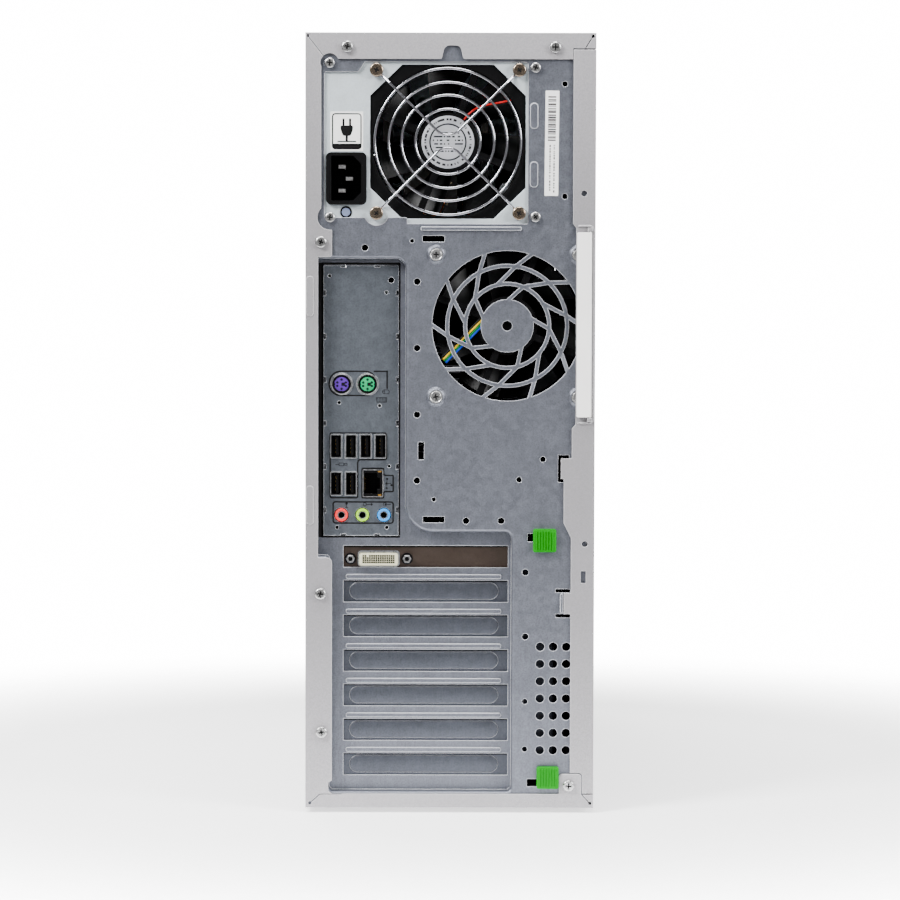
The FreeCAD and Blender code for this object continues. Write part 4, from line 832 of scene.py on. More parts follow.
# Satin black plastic, and also painted shade in socket wells, jack depths and post bores.
BLACK_SATIN_AND_SHADE = MouldedPlastic("black_satin", tint(7, 7, 8), 0.34, shine=0.12)
HANDLE = MouldedPlastic("handle_off_white", tint(250, 248, 246), 0.36, 2200.0, 0.15)
LATCH = MouldedPlastic("latch_green", tint(0, 128, 14), 0.4, 1800.0, 0.2, 0.1)
CREAM = MouldedPlastic("socket_cream", tint(200, 197, 168), 0.42, 2000.0, 0.15, 0.2)
BEZEL = MouldedPlastic("bezel_charcoal", tint(38, 39, 42), 0.5, 1500.0, 0.6, 0.3)
BEZEL_SILVER = MouldedPlastic("bezel_grey", tint(88, 91, 97), 0.42, 1700.0, 0.5, 0.35)
NAVY = MouldedPlastic("socket_blue", tint(40, 70, 150), 0.4)
# Black for print, and also painted shade in gaps, holes and screw recesses.
PRINT_AND_SHADE_BLACK = MouldedPlastic("print_black", tint(10, 10, 11), 0.6, 1500.0, 0.05, 0.1)
INK_WHITE = MouldedPlastic("print_white", tint(225, 225, 225), 0.55, 1500.0, 0.05)
RED_WIRE = MouldedPlastic("wire_red", tint(186, 8, 10), 0.4, shine=0.3)
BLACK_WIRE = MouldedPlastic("wire_black", tint(12, 12, 12), 0.5, shine=0.15)
YELLOW_WIRE = MouldedPlastic("wire_yellow", tint(205, 165, 0), 0.45, shine=0.15)
GREEN_WIRE = MouldedPlastic("wire_green", tint(0, 104, 40), 0.45, shine=0.15)
BLUE_WIRE = MouldedPlastic("wire_blue", tint(6, 50, 160), 0.45, shine=0.15)
PURPLE = MouldedPlastic("socket_purple", tint(78, 40, 138), 0.4, shine=0.2)
MINT = MouldedPlastic("socket_green", tint(0, 150, 92), 0.4, shine=0.2)
PINK = MouldedPlastic("sound_pink", tint(226, 44, 46), 0.4, shine=0.25)
LIME = MouldedPlastic("sound_lime", tint(150, 206, 34), 0.4, shine=0.25)
SKY = MouldedPlastic("sound_blue", tint(30, 136, 216), 0.4, shine=0.25)
# Painted shade: near-black marks for the display socket's contact holes.
CONTACT_HOLE_SHADE = MouldedPlastic("contact_hole", tint(10, 9, 7), 0.6, shine=0.05)
BRONZE = PolishedMetal("screw_bronze", tint(150, 134, 118), 0.2)
GLASS = MouldedPlastic("lens_unlit", tint(112, 122, 150), 0.12, shine=0.8)
# Painted shade: near-black sheets behind the front's openings.
SHADE_SHEET = MouldedPlastic("intake_foam", tint(13, 13, 14), 0.9, 900.0, 1.0, 0.1)
BOARD = CircuitBoard("main_board_green", tint(26, 92, 52))
CARD = CircuitBoard("card_green", tint(30, 104, 60), Axis.X, Axis.Y, 0.8)
PSU_CARD = CircuitBoard("supply_board", tint(34, 26, 14), Axis.X, Axis.Y, 1.1)
MODULE = CircuitBoard("module_green", tint(24, 100, 56), Axis.Z, Axis.X, 0.7)
ALUMINIUM = DrawnAluminium("drawn_aluminium", tint(208, 210, 214))
CAST = DrawnAluminium("cast_aluminium", tint(170, 172, 176), (300.0, 300.0, 300.0))
RUBBER = Rubber("foot_rubber", tint(28, 28, 28))
PRINTED_LABEL = PaperLabel("printed_label", tint(222, 226, 230), ink=tint(120, 124, 130))
LED = Lamp("lamp_blue_white", tint(190, 222, 255))
AMBER = Lamp("lamp_amber", tint(120, 88, 36), 0.02)
LABEL_STOCK = MouldedPlastic("label_stock", tint(240, 240, 238), 0.42, 900.0, 0.05)
INK_GREY = MouldedPlastic("print_grey", tint(58, 54, 54), 0.6, 1500.0, 0.05)
HUB_LABEL = RoundLabel("hub_label_silver", tint(206, 208, 214), centre=(-1.6, 390.3))


class Dresser:
    """Gives each carried-over node its finish."""

    plain: dict[str, Finish] = {
        "outer_cover": PAINT, "side_access_panel": PAINT, "cover_screws": SCREW, "rubber_feet": RUBBER,
        "panel_handle": HANDLE, "rear_panel": ZINC, "card_retainer": ZINC_COVER_SHADED, "base_pan": ZINC,
        "top_rail": ZINC, "motherboard_tray": ZINC, "front_frame": ZINC, "drive_cage": ZINC,
        "psu_fan_frame": BLACK, "rear_fan_frame": BLACK, "cpu_fan_frame": BLACK,
        "psu_fan_rotor": BLACK_SATIN_AND_SHADE, "rear_fan_rotor": BLACK_SATIN_AND_SHADE, "cpu_fan_rotor": BLACK_SATIN_AND_SHADE,
        "rear_fan_screws": SCREW, "rear_fan_lead": BLACK_WIRE, "psu_case": PSU_PLATE, "psu_screws": SCREW,
        "psu_fan_guard": CHROME, "psu_fan_screws": BRONZE, "psu_fan_lead": RED_WIRE, "psu_inlet": BLACK,
        "psu_inlet_pins": SCREW, "psu_status_led": GLASS, "psu_board": PSU_CARD, "motherboard": BOARD,
        "board_fixings": SCREW, "io_shield": SHIELD, "ps2_ports": MINT, "usb_ports": PORT_METAL,
        "network_port": PORT_METAL, "audio_jacks": LIME, "cpu_socket": CREAM, "cpu_heatsink": ALUMINIUM,
        "memory_sockets": BLACK, "memory_modules": MODULE, "expansion_connectors": CREAM,
        "chipset_heatsink": ALUMINIUM, "board_components": BLACK_SATIN_AND_SHADE, "slot_covers": ZINC_COVER_SHADED,
        "graphics_bracket": BRACKET, "video_connector": CREAM, "graphics_card": CARD,
        "graphics_cooler": ALUMINIUM, "upper_latch": LATCH, "lower_latch": LATCH,
        "optical_drive": PSU_PLATE, "optical_tray": BLACK, "eject_button": BEZEL_SILVER,
        "hard_drives": CAST, "front_bezel": BEZEL, "bay_blanks": BEZEL_SILVER,
        "power_button": BEZEL_SILVER, "front_ports": PORT_METAL, "labels": LABEL_STOCK,
        "power_harness": BLACK_WIRE,
    }

    def dress(self, nodes: dict[str, bpy.types.Object]) -> None:
        """Puts the finishes on.

        Args:
            nodes: The carried-over objects by name.
        """
        for name, finish in self.plain.items():
            target = nodes[name]
            target.data.materials.clear()
            target.data.materials.append(finish.material())
            log.info("%s: %s", name, finish.name)


# ---------------------------------------------------------------- sub-assemblies
@dataclass
class ShieldPrint:
    """The black outlines and small signs printed on the socket shield, and black strips of painted shade in
    the gap round it.
    """

    floor: float = -215.4
    line: float = 0.8
    fine: float = 0.3
    proud: float = 0.06

    def build(self) -> None:
        """Draws every outline and sign as thin raised ink."""
        face = Room.of("io_shield").low[1]
        self.span = (face - self.proud, face + 0.02)
        self.ink = Stock()
        self._outlines()
        self._keyboard_and_mouse()
        self._network_sign()
        self._sound_signs()
        self._plug_sign()
        self.ink.piece("shield_print", Body.CHASSIS, PRINT_AND_SHADE_BLACK, "black_plastic")
        self._gap()

    def _gap(self) -> None:
        """Paints shade into the gap between the shield and the recess round it, as black strips."""
        span = (self.floor - self.proud, self.floor)
        gap = Stock().block((-76.6, span[0], 160.4), (-74.0, span[1], 320.3))
        gap.ring(rectangle((-74.9, 160.2), (-29.0, 320.5)), 1.2, span, 0.6)
        gap.piece("shield_gap", Body.CHASSIS, PRINT_AND_SHADE_BLACK, "black_plastic")

    def _outlines(self) -> None:
        """Frames the four groups of sockets."""
        round_sockets, data = Room.of("ps2_ports"), Room.of("usb_ports")
        network, sound = Room.of("network_port"), Room.of("audio_jacks")
        low, high = round_sockets.low[2] - 0.7, round_sockets.high[2] + 1.6
        end = -36.3
        self._ring(rectangle((-70.8, low), (-42.5, high)), 7.0)
        self.ink.block((-44.5, self.span[0], high - self.line), (end, self.span[1], high))
        self.ink.block((end - self.line, self.span[0], low + 4.3), (end, self.span[1], high - 0.4))
        left, step, right, level = -70.2, -53.4, -36.6, 205.4
        lowest, top = data.low[2] - 1.8, data.high[2] + 1.2
        stepped = [(left, lowest), (step, lowest), (step, level), (right, level), (right, top), (left, top)]
        self._ring(stepped, 1.4)
        left, right = network.low[0] - 0.8, network.high[0] + 0.6
        bottom, upper = network.low[2] - 0.9, network.high[2] + 1.0
        bay, bay_low, bay_high = -32.7, 186.8, 197.0
        self._ring([(left, bottom), (right, bottom), (right, bay_low), (bay, bay_low), (bay, bay_high),
                    (right, bay_high), (right, upper), (left, upper)], 1.0)
        mid = sound.mid[2]
        self._ring(rectangle((-68.5, mid - 5.2), (bay, mid + 8.0)), 1.8)

    def _ring(self, corners: Sequence[tuple[float, float]], rounding: float) -> None:
        """Draws one closed outline."""
        self.ink.ring(corners, self.line, self.span, rounding)

    def _dash(self, x: float, z: float, wide: float, tall: float) -> None:
        """Draws one small bar about a point."""
        self.ink.block((x - wide / 2, self.span[0], z - tall / 2), (x + wide / 2, self.span[1], z + tall / 2))

    def _loop(self, x: float, z: float, half_x: float, half_z: float, rounding: float) -> None:
        """Draws one small fine-lined loop about a point."""
        self.ink.ring(rectangle_about(x, z, half_x, half_z), self.fine, self.span, rounding)

    def _keyboard_and_mouse(self) -> None:
        """Draws the two signs under the round sockets."""
        x, z = -39.9, 240.7
        self._loop(x, z, 3.1, 1.5, 0.4)
        for row in range(3):
            for key in range(6):
                self._dash(x - 2.25 + 0.9 * key, z - 0.75 + 0.75 * row, 0.5, 0.38)
        x, z = -37.4, 245.4
        self._loop(x, z, 2.1, 1.3, 1.2)
        self._dash(x - 0.7, z, 0.28, 2.5)
        self._dash(x - 1.5, z, 1.5, 0.28)

    def _network_sign(self) -> None:
        """Draws four joined dots beside the network socket."""
        for x, z in ((-37.0, 191.9), (-34.1, 190.9), (-36.6, 194.6), (-36.9, 189.2)):
            self.ink.rod((x, self.span[0], z), 0.62, self.span[1] - self.span[0], steps=16)
        self._dash(-35.6, 191.9, 2.6, 0.3)
        self._dash(-36.7, 191.9, 0.3, 4.6)

    def _sound_signs(self) -> None:
        """Draws a microphone and two arrow signs over the sound sockets."""
        x, z = -60.2, 179.7
        self.ink.rod((x, self.span[0], z + 0.5), 0.7, self.span[1] - self.span[0], steps=16)
        self._dash(x, z - 0.9, 0.35, 2.2)
        self._dash(x, z - 1.9, 1.8, 0.35)
        for x, way in ((-48.2, 1.0), (-36.6, -1.0)):
            self._loop(x - 1.4, z, 1.0, 1.1, 0.9)
            self._dash(x + 0.9, z, 2.6, 0.35)
            tip = x + 0.9 + way * 1.3
            self.ink.plate([(tip, z - 0.9), (tip + way * 1.2, z), (tip, z + 0.9)][:: int(way)], self.span)

    def _plug_sign(self) -> None:
        """Draws a plain plug sign between the two rows of data sockets."""
        x, z = -62.2, 203.0
        self._loop(x - 1.1, z, 1.5, 0.95, 0.3)
        self.ink.ring(rectangle((x + 0.4, z - 0.6), (x + 2.4, z + 0.6)), 0.28, self.span, 0.1)
        self._dash(x - 3.6, z, 2.0, 0.3)


@dataclass
class DataSockets:
    """The upright data sockets: a folded shell, a dark liner with its tongue, and four contacts each."""

    wall: float = 0.4
    half_x: float = 3.3
    half_z: float = 6.9
    columns: tuple[float, ...] = (-66.4, -57.7, -49.1, -40.5)
    rows: tuple[tuple[float, int], ...] = ((213.6, 4), (191.8, 2))

    def build(self) -> None:
        """Makes the shells, the liners and the contacts."""
        room = Room.of("usb_ports")
        self.mouth, self.back = room.low[1], room.high[1]
        self.shells, self.liners, self.contacts = Stock(), Stock(), Stock()
        for z, count in self.rows:
            for x in self.columns[:count]:
                self._shell(x, z)
                self._inside(x, z)
        self.shells.piece("data_socket_shells", Body.CHASSIS, PORT_METAL, "bright_metal", ("usb_ports",))
        self.liners.piece("data_socket_liners", Body.CHASSIS, BLACK_SATIN_AND_SHADE, "black_plastic")
        self.contacts.piece("data_socket_contacts", Body.CHASSIS, BRASS, "bright_metal")

    def _shell(self, x: float, z: float) -> None:
        """Folds one shell with its two spring fingers."""
        span = (self.mouth, self.back)
        self.shells.ring(rectangle_about(x, z, self.half_x, self.half_z), self.wall, span, 0.5)
        for finger in (x - 2.75, x + 2.75):
            low, high = (finger - 0.16, self.mouth + 0.9, z - 1.0), (finger + 0.16, self.mouth + 6.0, z + 1.0)
            self.shells.block(low, high)

    def _inside(self, x: float, z: float) -> None:
        """Fills one shell with its liner, back wall, tongue and contacts."""
        mouth, back = self.mouth, self.back
        half_x, half_z = self.half_x - self.wall - 0.02, self.half_z - self.wall - 0.02
        self.liners.ring(rectangle_about(x, z, half_x, half_z), 0.35, (mouth + 0.15, back), 0.2)
        self.liners.block((x - half_x, mouth + 9.0, z - half_z), (x + half_x, back, z + half_z))
        self.liners.block((x - 0.2, mouth + 1.2, z - 5.6), (x + 1.7, mouth + 9.2, z + 5.6), 0.25)
        for k in range(4):
            low = (x - 0.42, mouth + 2.2, z - 4.05 + 2.33 * k)
            self.contacts.block(low, (x - 0.18, mouth + 9.0, low[2] + 1.1), 0.08, 1)


@dataclass
class NetworkSocket:
    """The network socket: a plated shell, a black insert with its stepped mouth, contacts and two lamps."""

    wall: float = 0.45
    half_mouth: float = 6.2
    half_step: float = 3.4

    def build(self) -> None:
        """Makes the shell, insert, contacts and lamps."""
        room = Room.of("network_port")
        self.mouth, self.back, self.mid = room.low[1], room.high[1], room.mid[2]
        low, high = (room.low[0], room.low[2]), (room.high[0], room.high[2])
        shell = Stock().ring(rectangle(low, high), self.wall, (self.mouth, self.back), 0.5)
        shell.piece("network_socket_shell", Body.CHASSIS, PORT_METAL, "bright_metal", ("network_port",))
        inset = self.wall + 0.02
        self.left, self.right = low[0] + inset, high[0] - inset
        self._insert(low[1] + inset, high[1] - inset)
        self._contacts()
        lamps = Stock()
        for z in (self.mid + 6.9, self.mid - 6.9):
            corner = (self.right - 2.6, self.mouth + 0.1, z - 0.45)
            lamps.block(corner, (self.right - 0.6, self.mouth + 1.0, z + 0.45), 0.15)
        lamps.piece("network_socket_lamps", Body.CHASSIS, AMBER, "lamp")

    def _insert(self, bottom: float, top: float) -> None:
        """Builds the black insert round its mouth, which narrows in a step where the catch goes."""
        insert, face = Stock(), self.mouth + 0.3
        low, high = self.mid - self.half_mouth, self.mid + self.half_mouth
        step_low, step_high = self.mid - self.half_step, self.mid + self.half_step
        insert.block((self.left, face, high), (self.right, self.back, top), 0.1)
        insert.block((self.left, face, bottom), (self.right, self.back, low), 0.1)
        insert.block((self.left, face, low), (self.left + 0.5, self.back, high))
        insert.block((self.right - 3.0, face, step_high), (self.right, self.back, high), 0.1)
        insert.block((self.right - 3.0, face, low), (self.right, self.back, step_low), 0.1)
        insert.block((self.right - 1.4, face, step_low), (self.right, self.back, step_high), 0.1)
        insert.block((self.left, self.back - 3.0, low), (self.right, self.back, high))
        insert.piece("network_socket_insert", Body.CHASSIS, BLACK_SATIN_AND_SHADE, "black_plastic")

    def _contacts(self) -> None:
        """Bends the eight spring contacts."""
        pins = Stock()
        for k in range(8):
            z = self.mid - 3.57 + 1.02 * k
            route = [(self.left + 0.7, self.mouth + 3.0, z), (self.left + 0.9, self.mouth + 5.0, z),
                     (self.left + 3.4, self.back - 3.2, z)]
            pins.wire(route, 0.18, 3, 1)
        pins.piece("network_socket_contacts", Body.CHASSIS, BRASS, "bright_metal")


@dataclass
class FanRotor:
    """A fan's rotor: a dished hub and swept, twisted blades."""

    node: str
    name: str
    body: Body
    axis: Axis
    hub: float
    tip: float
    count: int
    towards: float = 1.0
    depth: float = 13.6

    def build(self) -> bpy.types.Object:
        """Makes the rotor in place of its node."""
        room = Room.of(self.node)
        k = self.axis.value
        centre = list(room.mid)
        self.centre = centre
        span = (room.low[k], room.high[k])
        start, stop = span if self.towards > 0 else span[::-1]
        self.start = start + self.towards * 2.0
        self.stop = stop
        stock = Stock()
        self._hub(stock)
        self._blades(stock)
        stock.rod(self._at(start), 1.55, (self.start - start) + self.towards * 0.5, self.axis, steps=20)
        return stock.piece(self.name, self.body, BLACK_SATIN_AND_SHADE, "black_plastic", (self.node,))

    def _at(self, level: float) -> tuple[float, float, float]:
        """The point on the fan's own axis at a level."""
        point = list(self.centre)
        point[self.axis.value] = level
        return tuple(point)

    def _hub(self, stock: Stock) -> None:
        """Turns the hub cup with rounded shoulders."""
        high = abs(self.stop - self.start)
        r = self.hub
        profile = [(0.01, 0.0), (r - 0.8, 0.0), (r - 0.2, 0.25), (r, 0.8), (r, high - 1.6),
                   (r - 0.5, high - 0.5), (r - 1.6, high), (r * 0.55, high), (r * 0.5, high - 0.5),
                   (0.01, high - 0.5)]
        if self.towards < 0:
            profile = [(radius, -along) for radius, along in profile]
        stock.turned(profile, self._at(self.start), self.axis, 72)

    def _blades(self, stock: Stock) -> None:
        """Bends one blade from a flat grid and repeats it round the hub."""
        blade = bmesh.new()
        bmesh.ops.create_grid(blade, x_segments=8, y_segments=8, size=0.5)
        middle = abs(self.stop - self.start) / 2
        for vert in blade.verts:
            out, chord = vert.co.x + 0.5, vert.co.y
            radius = (self.hub - 0.5) + (self.tip - self.hub + 0.5) * out
            steep = math.radians(50.0 - 22.0 * out)
            along = middle + chord * self.depth * (1.0 - 0.12 * out) + 0.9 * math.cos(chord * math.pi)
            reach = chord * self.depth / math.tan(steep)
            angle = reach / radius + 0.22 * out
            vert.co = (radius * math.cos(angle), radius * math.sin(angle), self.towards * along)
        bmesh.ops.solidify(blade, geom=list(blade.faces), thickness=1.1)
        data = bpy.data.meshes.new("blade")
        blade.to_mesh(data)
        blade.free()
        place = Matrix.Translation(self._at(self.start)) @ self.axis.basis()
        for k in range(self.count):
            copy = data.copy()
            copy.transform(place @ Matrix.Rotation(math.tau * k / self.count, 4, "Z"))
            stock.mesh.from_mesh(copy)
            bpy.data.meshes.remove(copy)
        bpy.data.meshes.remove(data)


@dataclass
class HubDisc:
    """The round label on the power supply fan's motor mount."""

    radius: float = 15.3

    def build(self) -> None:
        """Makes the disc just proud of the mount."""
        room = Room.of("psu_fan_frame")
        face = room.low[1] + 3.2
        disc = Stock().rod((room.mid[0], face - 0.12, room.mid[2]), self.radius, 0.14, bevel=0.04, steps=72)
        disc.piece("fan_hub_label", Body.CHASSIS, HUB_LABEL, "paper_label")


@dataclass
class FanWires:
    """The four coloured wires of the case fan, side by side from its motor mount to the frame's rim."""

    start: tuple[float, float] = (-14.0, 3.0)
    stop: tuple[float, float] = (-36.9, -20.2)
    pitch: float = 1.25

    def build(self) -> None:
        """Runs the four wires in place of the plain leads."""
        fan = Room.of("rear_fan_frame")
        y = Room.of("rear_fan_lead").mid[1]
        origin = Vector((fan.mid[0], y, fan.mid[2]))
        start = origin + Vector((self.start[0], 0.0, self.start[1]))
        stop = origin + Vector((self.stop[0], 0.0, self.stop[1]))
        along = stop - start
        across = Vector((-along.z, 0.0, along.x)).normalized()
        colours = (("blue", BLUE_WIRE), ("green", GREEN_WIRE), ("yellow", YELLOW_WIRE), ("black", BLACK_WIRE))
        for k, (word, finish) in enumerate(colours):
            side = across * (self.pitch * (1.5 - k))
            sway = across * (0.2 * math.sin(1.9 * k + 0.6))
            points = [start + side, start + along * 0.35 + side + sway,
                      start + along * 0.7 + side - sway, stop + side]
            stands_for = ("rear_fan_lead",) if k == 0 else ()
            wire = Stock().wire([tuple(p) for p in points], 0.55)
            wire.piece(f"fan_wire_{word}", Body.CHASSIS, finish, "lead_insulation", stands_for)


@dataclass
class Labels:
    """The serial strip and the badge over the inlet, with generic marks only."""

    thick: float = 0.13

    def build(self) -> None:
        """Makes both labels in place of their node."""
        room = Room.of("labels")
        self._strip(room.low[1])
        self._badge(room.high[1] - 0.15)

    def _strip(self, y: float) -> None:
        """The long serial strip with its bars and two columns of short dashes."""
        x, z, half_x, half_z = 58.5, 389.5, 4.0, 30.3
        lean = 0.5
        strip = Stock().plate(rectangle_about(x, z, half_x, half_z), (y, y + self.thick), 0.5)
        strip.turn(lean, (x, y, z))
        strip.piece("serial_strip", Body.CHASSIS, LABEL_STOCK, "paper_label", ("labels",))
        marks = Stock()
        top = z + half_z - 3.2
        level = top
        while level > top - 25.0:
            tall = random.choice((0.35, 0.35, 0.55, 0.8, 1.1))
            marks.block((x - 2.4, y - 0.03, level - tall), (x + 2.2, y + 0.02, level))
            level -= tall + random.choice((0.3, 0.4, 0.6, 0.9))
        for left in (x - 1.4, x + 1.0):
            level = top - 28.0
            while level > z - half_z + 3.0:
                tall = random.choice((0.5, 0.9, 1.3))
                marks.block((left, y - 0.03, level - tall), (left + 0.8, y + 0.02, level))
                level -= tall + random.choice((0.45, 0.6, 1.1))
        marks.turn(lean, (x, y, z))
        marks.piece("serial_marks", Body.CHASSIS, INK_GREY, "paper_label")

    def _badge(self, y: float) -> None:
        """The badge: a white card with a black frame, a plug sign and a black foot band."""
        x0, z0, x1, z1 = -69.6, 384.9, -50.6, 407.6
        card = Stock().plate(rectangle((x0, z0), (x1, z1)), (y, y + self.thick), 0.5)
        card.piece("rating_badge", Body.CHASSIS, LABEL_STOCK, "paper_label")
        span, rim = (y - 0.04, y + 0.02), 0.9
        marks = Stock().ring(rectangle((x0 + rim, z0 + rim), (x1 - rim, z1 - rim)), 0.75, span, 2.0)
        marks.plate(rectangle((x0 + 1.4, z0 + 1.3), (x1 - 1.4, z0 + 4.2)), span, 0.6)
        self._plug(marks, (x0 + x1) / 2, 390.0, span)
        marks.piece("rating_badge_marks", Body.CHASSIS, PRINT_AND_SHADE_BLACK, "black_plastic")

    def _plug(self, marks: Stock, x: float, foot: float, span: tuple[float, float]) -> None:
        """Draws a plug with its two blades, standing on a line."""
        waist, shoulder, brow = foot + 3.6, foot + 7.4, foot + 9.6
        body = [(x - 3.6, shoulder), (x - 2.2, waist), (x + 2.2, waist), (x + 3.6, shoulder), (x + 3.6, brow),
                (x - 3.6, brow)]
        marks.plate(body, span, 0.9)
        for blade in (x - 1.9, x + 1.9):
            marks.plate(rectangle((blade - 0.6, brow - 0.2), (blade + 0.6, brow + 4.0)), span, 0.4)
        marks.block((x - 0.7, span[0], foot + 0.6), (x + 0.7, span[1], waist + 0.2))
        marks.block((x - 5.4, span[0], foot), (x + 5.4, span[1], foot + 0.7))


@dataclass
class SlotCovers:
    """The blank slot covers, each with a long pressed field whose edge is rounded over."""

    count: int = 6
    flat: float = -214.2
    tall: float = 18.42
    half_open: float = 6.35
    sheet: float = 0.9

    def build(self) -> None:
        """Presses every cover in place of the plain ones, and paints the shade in the gap over each as a
        black strip.
        """
        room = Room.of("slot_covers")
        (x0, y0, z0), (x1, _, z1) = room.low, room.high
        pitch = ((z1 - z0) - self.tall) / (self.count - 1)
        back = self.flat + self.sheet
        covers, gaps = Stock(), Stock()
        for k in range(self.count):
            low, high = z0 + pitch * k, z0 + pitch * k + self.tall
            covers.block((x0, self.flat, low), (x1, back, high), 0.2, 1)
            covers.block((x1 - self.sheet, y0, low), (x1, back, high), 0.2, 1)
            field = rectangle_about(-15.1, (low + high) / 2, 43.4, 4.9)
            covers.plate(field, (self.flat - 0.5, self.flat + 0.3), 4.85, segments=10, edge=0.42)
        # Painted shade: a black strip at the top of each slot opening.
        for k in range(self.count + 1):
            top = z0 + pitch * k + self.tall / 2 + self.half_open
            gaps.block((-61.9, self.flat - 0.75, top - 0.75), (33.8, self.flat + 0.02, top - 0.05))
        covers.piece("slot_cover_set", Body.CHASSIS, ZINC_COVER_SHADED, "galvanised_steel", ("slot_covers",))
        gaps.piece("slot_gaps", Body.CHASSIS, PRINT_AND_SHADE_BLACK, "black_plastic")


@dataclass
class FanScrewCups:
    """The bright countersunk rings round the case fan's screws."""

    face: float = -223.4
    half: float = 41.25
    cup: tuple[tuple[float, float], ...] = ((2.7, 0.5), (3.2, 0.02), (3.6, -0.10), (3.85, -0.02), (3.85, 0.3),
                                            (2.7, 0.8))
    flat: tuple[tuple[float, float], ...] = ((3.8, -0.03), (5.7, -0.03), (5.8, 0.0), (5.8, 0.05), (3.8, 0.05))

    def build(self) -> None:
        """Turns a ring and a flat round each screw."""
        room = Room.of("rear_fan_frame")
        cups, flats = Stock(), Stock()
        for x in (room.mid[0] - self.half, room.mid[0] + self.half):
            for z in (room.mid[2] - self.half, room.mid[2] + self.half):
                cups.turned(self.cup, (x, self.face, z), steps=40)
                flats.turned(self.flat, (x, self.face, z), steps=48)
        cups.piece("fan_screw_cups", Body.CHASSIS, SCREW, "bright_metal")
        flats.piece("fan_screw_flats", Body.CHASSIS, ZINC_FLAT, "galvanised_steel")


@dataclass
class RoundSockets:
    """The two round keyboard and mouse sockets: plated rings round keyed, coloured pin fields."""

    centres: tuple[tuple[float, float, Finish], ...]
    depth: float = 5.0
    field: float = 4.15
    pins: float = 2.7

    def build(self) -> None:
        """Makes the rings and the fields, with black wells and holes as painted shade."""
        mouth = Room.of("ps2_ports").low[1]
        rings, wells, holes = Stock(), Stock(), Stock()
        for name, (x, z, finish) in zip(("keyboard", "mouse"), self.centres):
            at, back = (x, mouth, z), self.depth
            rings.turned([(5.35, 0.5), (5.6, 0.1), (6.0, 0.0), (6.3, 0.35), (6.3, back), (5.35, back)], at)
            # Painted shade: a black cylinder in the gap between ring and field.
            wells.rod((x, mouth + 1.1, z), 5.4, back - 1.1)
            insert = Stock().rod((x, mouth + 0.7, z), self.field, back, bevel=0.3, steps=48)
            insert.piece(f"{name}_socket_field", Body.CHASSIS, finish, "connector_plastic")
            self._holes(holes, x, z, mouth + 0.68)
        rings.piece("round_socket_rings", Body.CHASSIS, SCREW, "bright_metal", ("ps2_ports",))
        wells.piece("round_socket_wells", Body.CHASSIS, BLACK_SATIN_AND_SHADE, "black_plastic")
        holes.piece("round_socket_holes", Body.CHASSIS, PRINT_AND_SHADE_BLACK, "black_plastic")

    def _holes(self, holes: Stock, x: float, z: float, face: float) -> None:
        """Marks the six pin holes, the key hole and the three rim notches of one socket in black, as painted
        shade.
        """
        for angle in map(math.radians, (22, 90, 158, 202, 270, 338)):
            at = (x + self.pins * math.cos(angle), face - 0.04, z + self.pins * math.sin(angle))
            holes.rod(at, 0.72, 0.3, steps=16)
        holes.block((x - 0.1, face - 0.04, z - 0.95), (x + 2.0, face + 0.3, z + 0.95))
        for angle in map(math.radians, (0, 180, 270)):
            px, pz = x + self.field * math.cos(angle), z + self.field * math.sin(angle)
            holes.block((px - 0.5, face, pz - 0.5), (px + 0.5, face + 0.3, pz + 0.5), 0.1, 1)


@dataclass
class SoundSockets:
    """The three sound sockets: coloured collars, plated bores, and black rings, linings and floors as painted
    shade in their depths.
    """

    centres: tuple[tuple[float, float, Finish], ...]

    def build(self) -> None:
        """Makes a collar, a bore and black painted shade in the depths of each socket."""
        mouth = Room.of("audio_jacks").low[1]
        bores, depths = Stock(), Stock()
        for name, (x, z, finish) in zip(("in", "out", "microphone"), self.centres):
            at = (x, mouth, z)
            profile = [(2.25, 0.5), (2.45, 0.05), (3.5, 0.0), (3.8, 0.3), (3.8, 4.0), (2.25, 4.0)]
            collar = Stock().turned(profile, at)
            collar.piece(f"sound_collar_{name}", Body.CHASSIS, finish, "jack_plastic")
            bores.turned([(1.75, 0.6), (1.9, 0.25), (2.25, 0.3), (2.25, 8.0), (1.75, 8.0)], at, steps=40)
            # Painted shade: a black ring behind the collar, a black floor and a black lining in the bore.
            depths.turned([(3.82, 1.3), (4.3, 1.38), (4.3, 1.9), (3.82, 1.9)], at, steps=40)
            depths.rod((x, mouth + 7.5, z), 1.8, 1.0, steps=24)
            depths.turned([(1.62, 1.1), (1.76, 1.1), (1.76, 7.6), (1.62, 7.6)], at, steps=24)
        bores.piece("sound_socket_bores", Body.CHASSIS, PORT_METAL, "bright_metal", ("audio_jacks",))
        depths.piece("sound_socket_depths", Body.CHASSIS, BLACK_SATIN_AND_SHADE, "black_plastic")


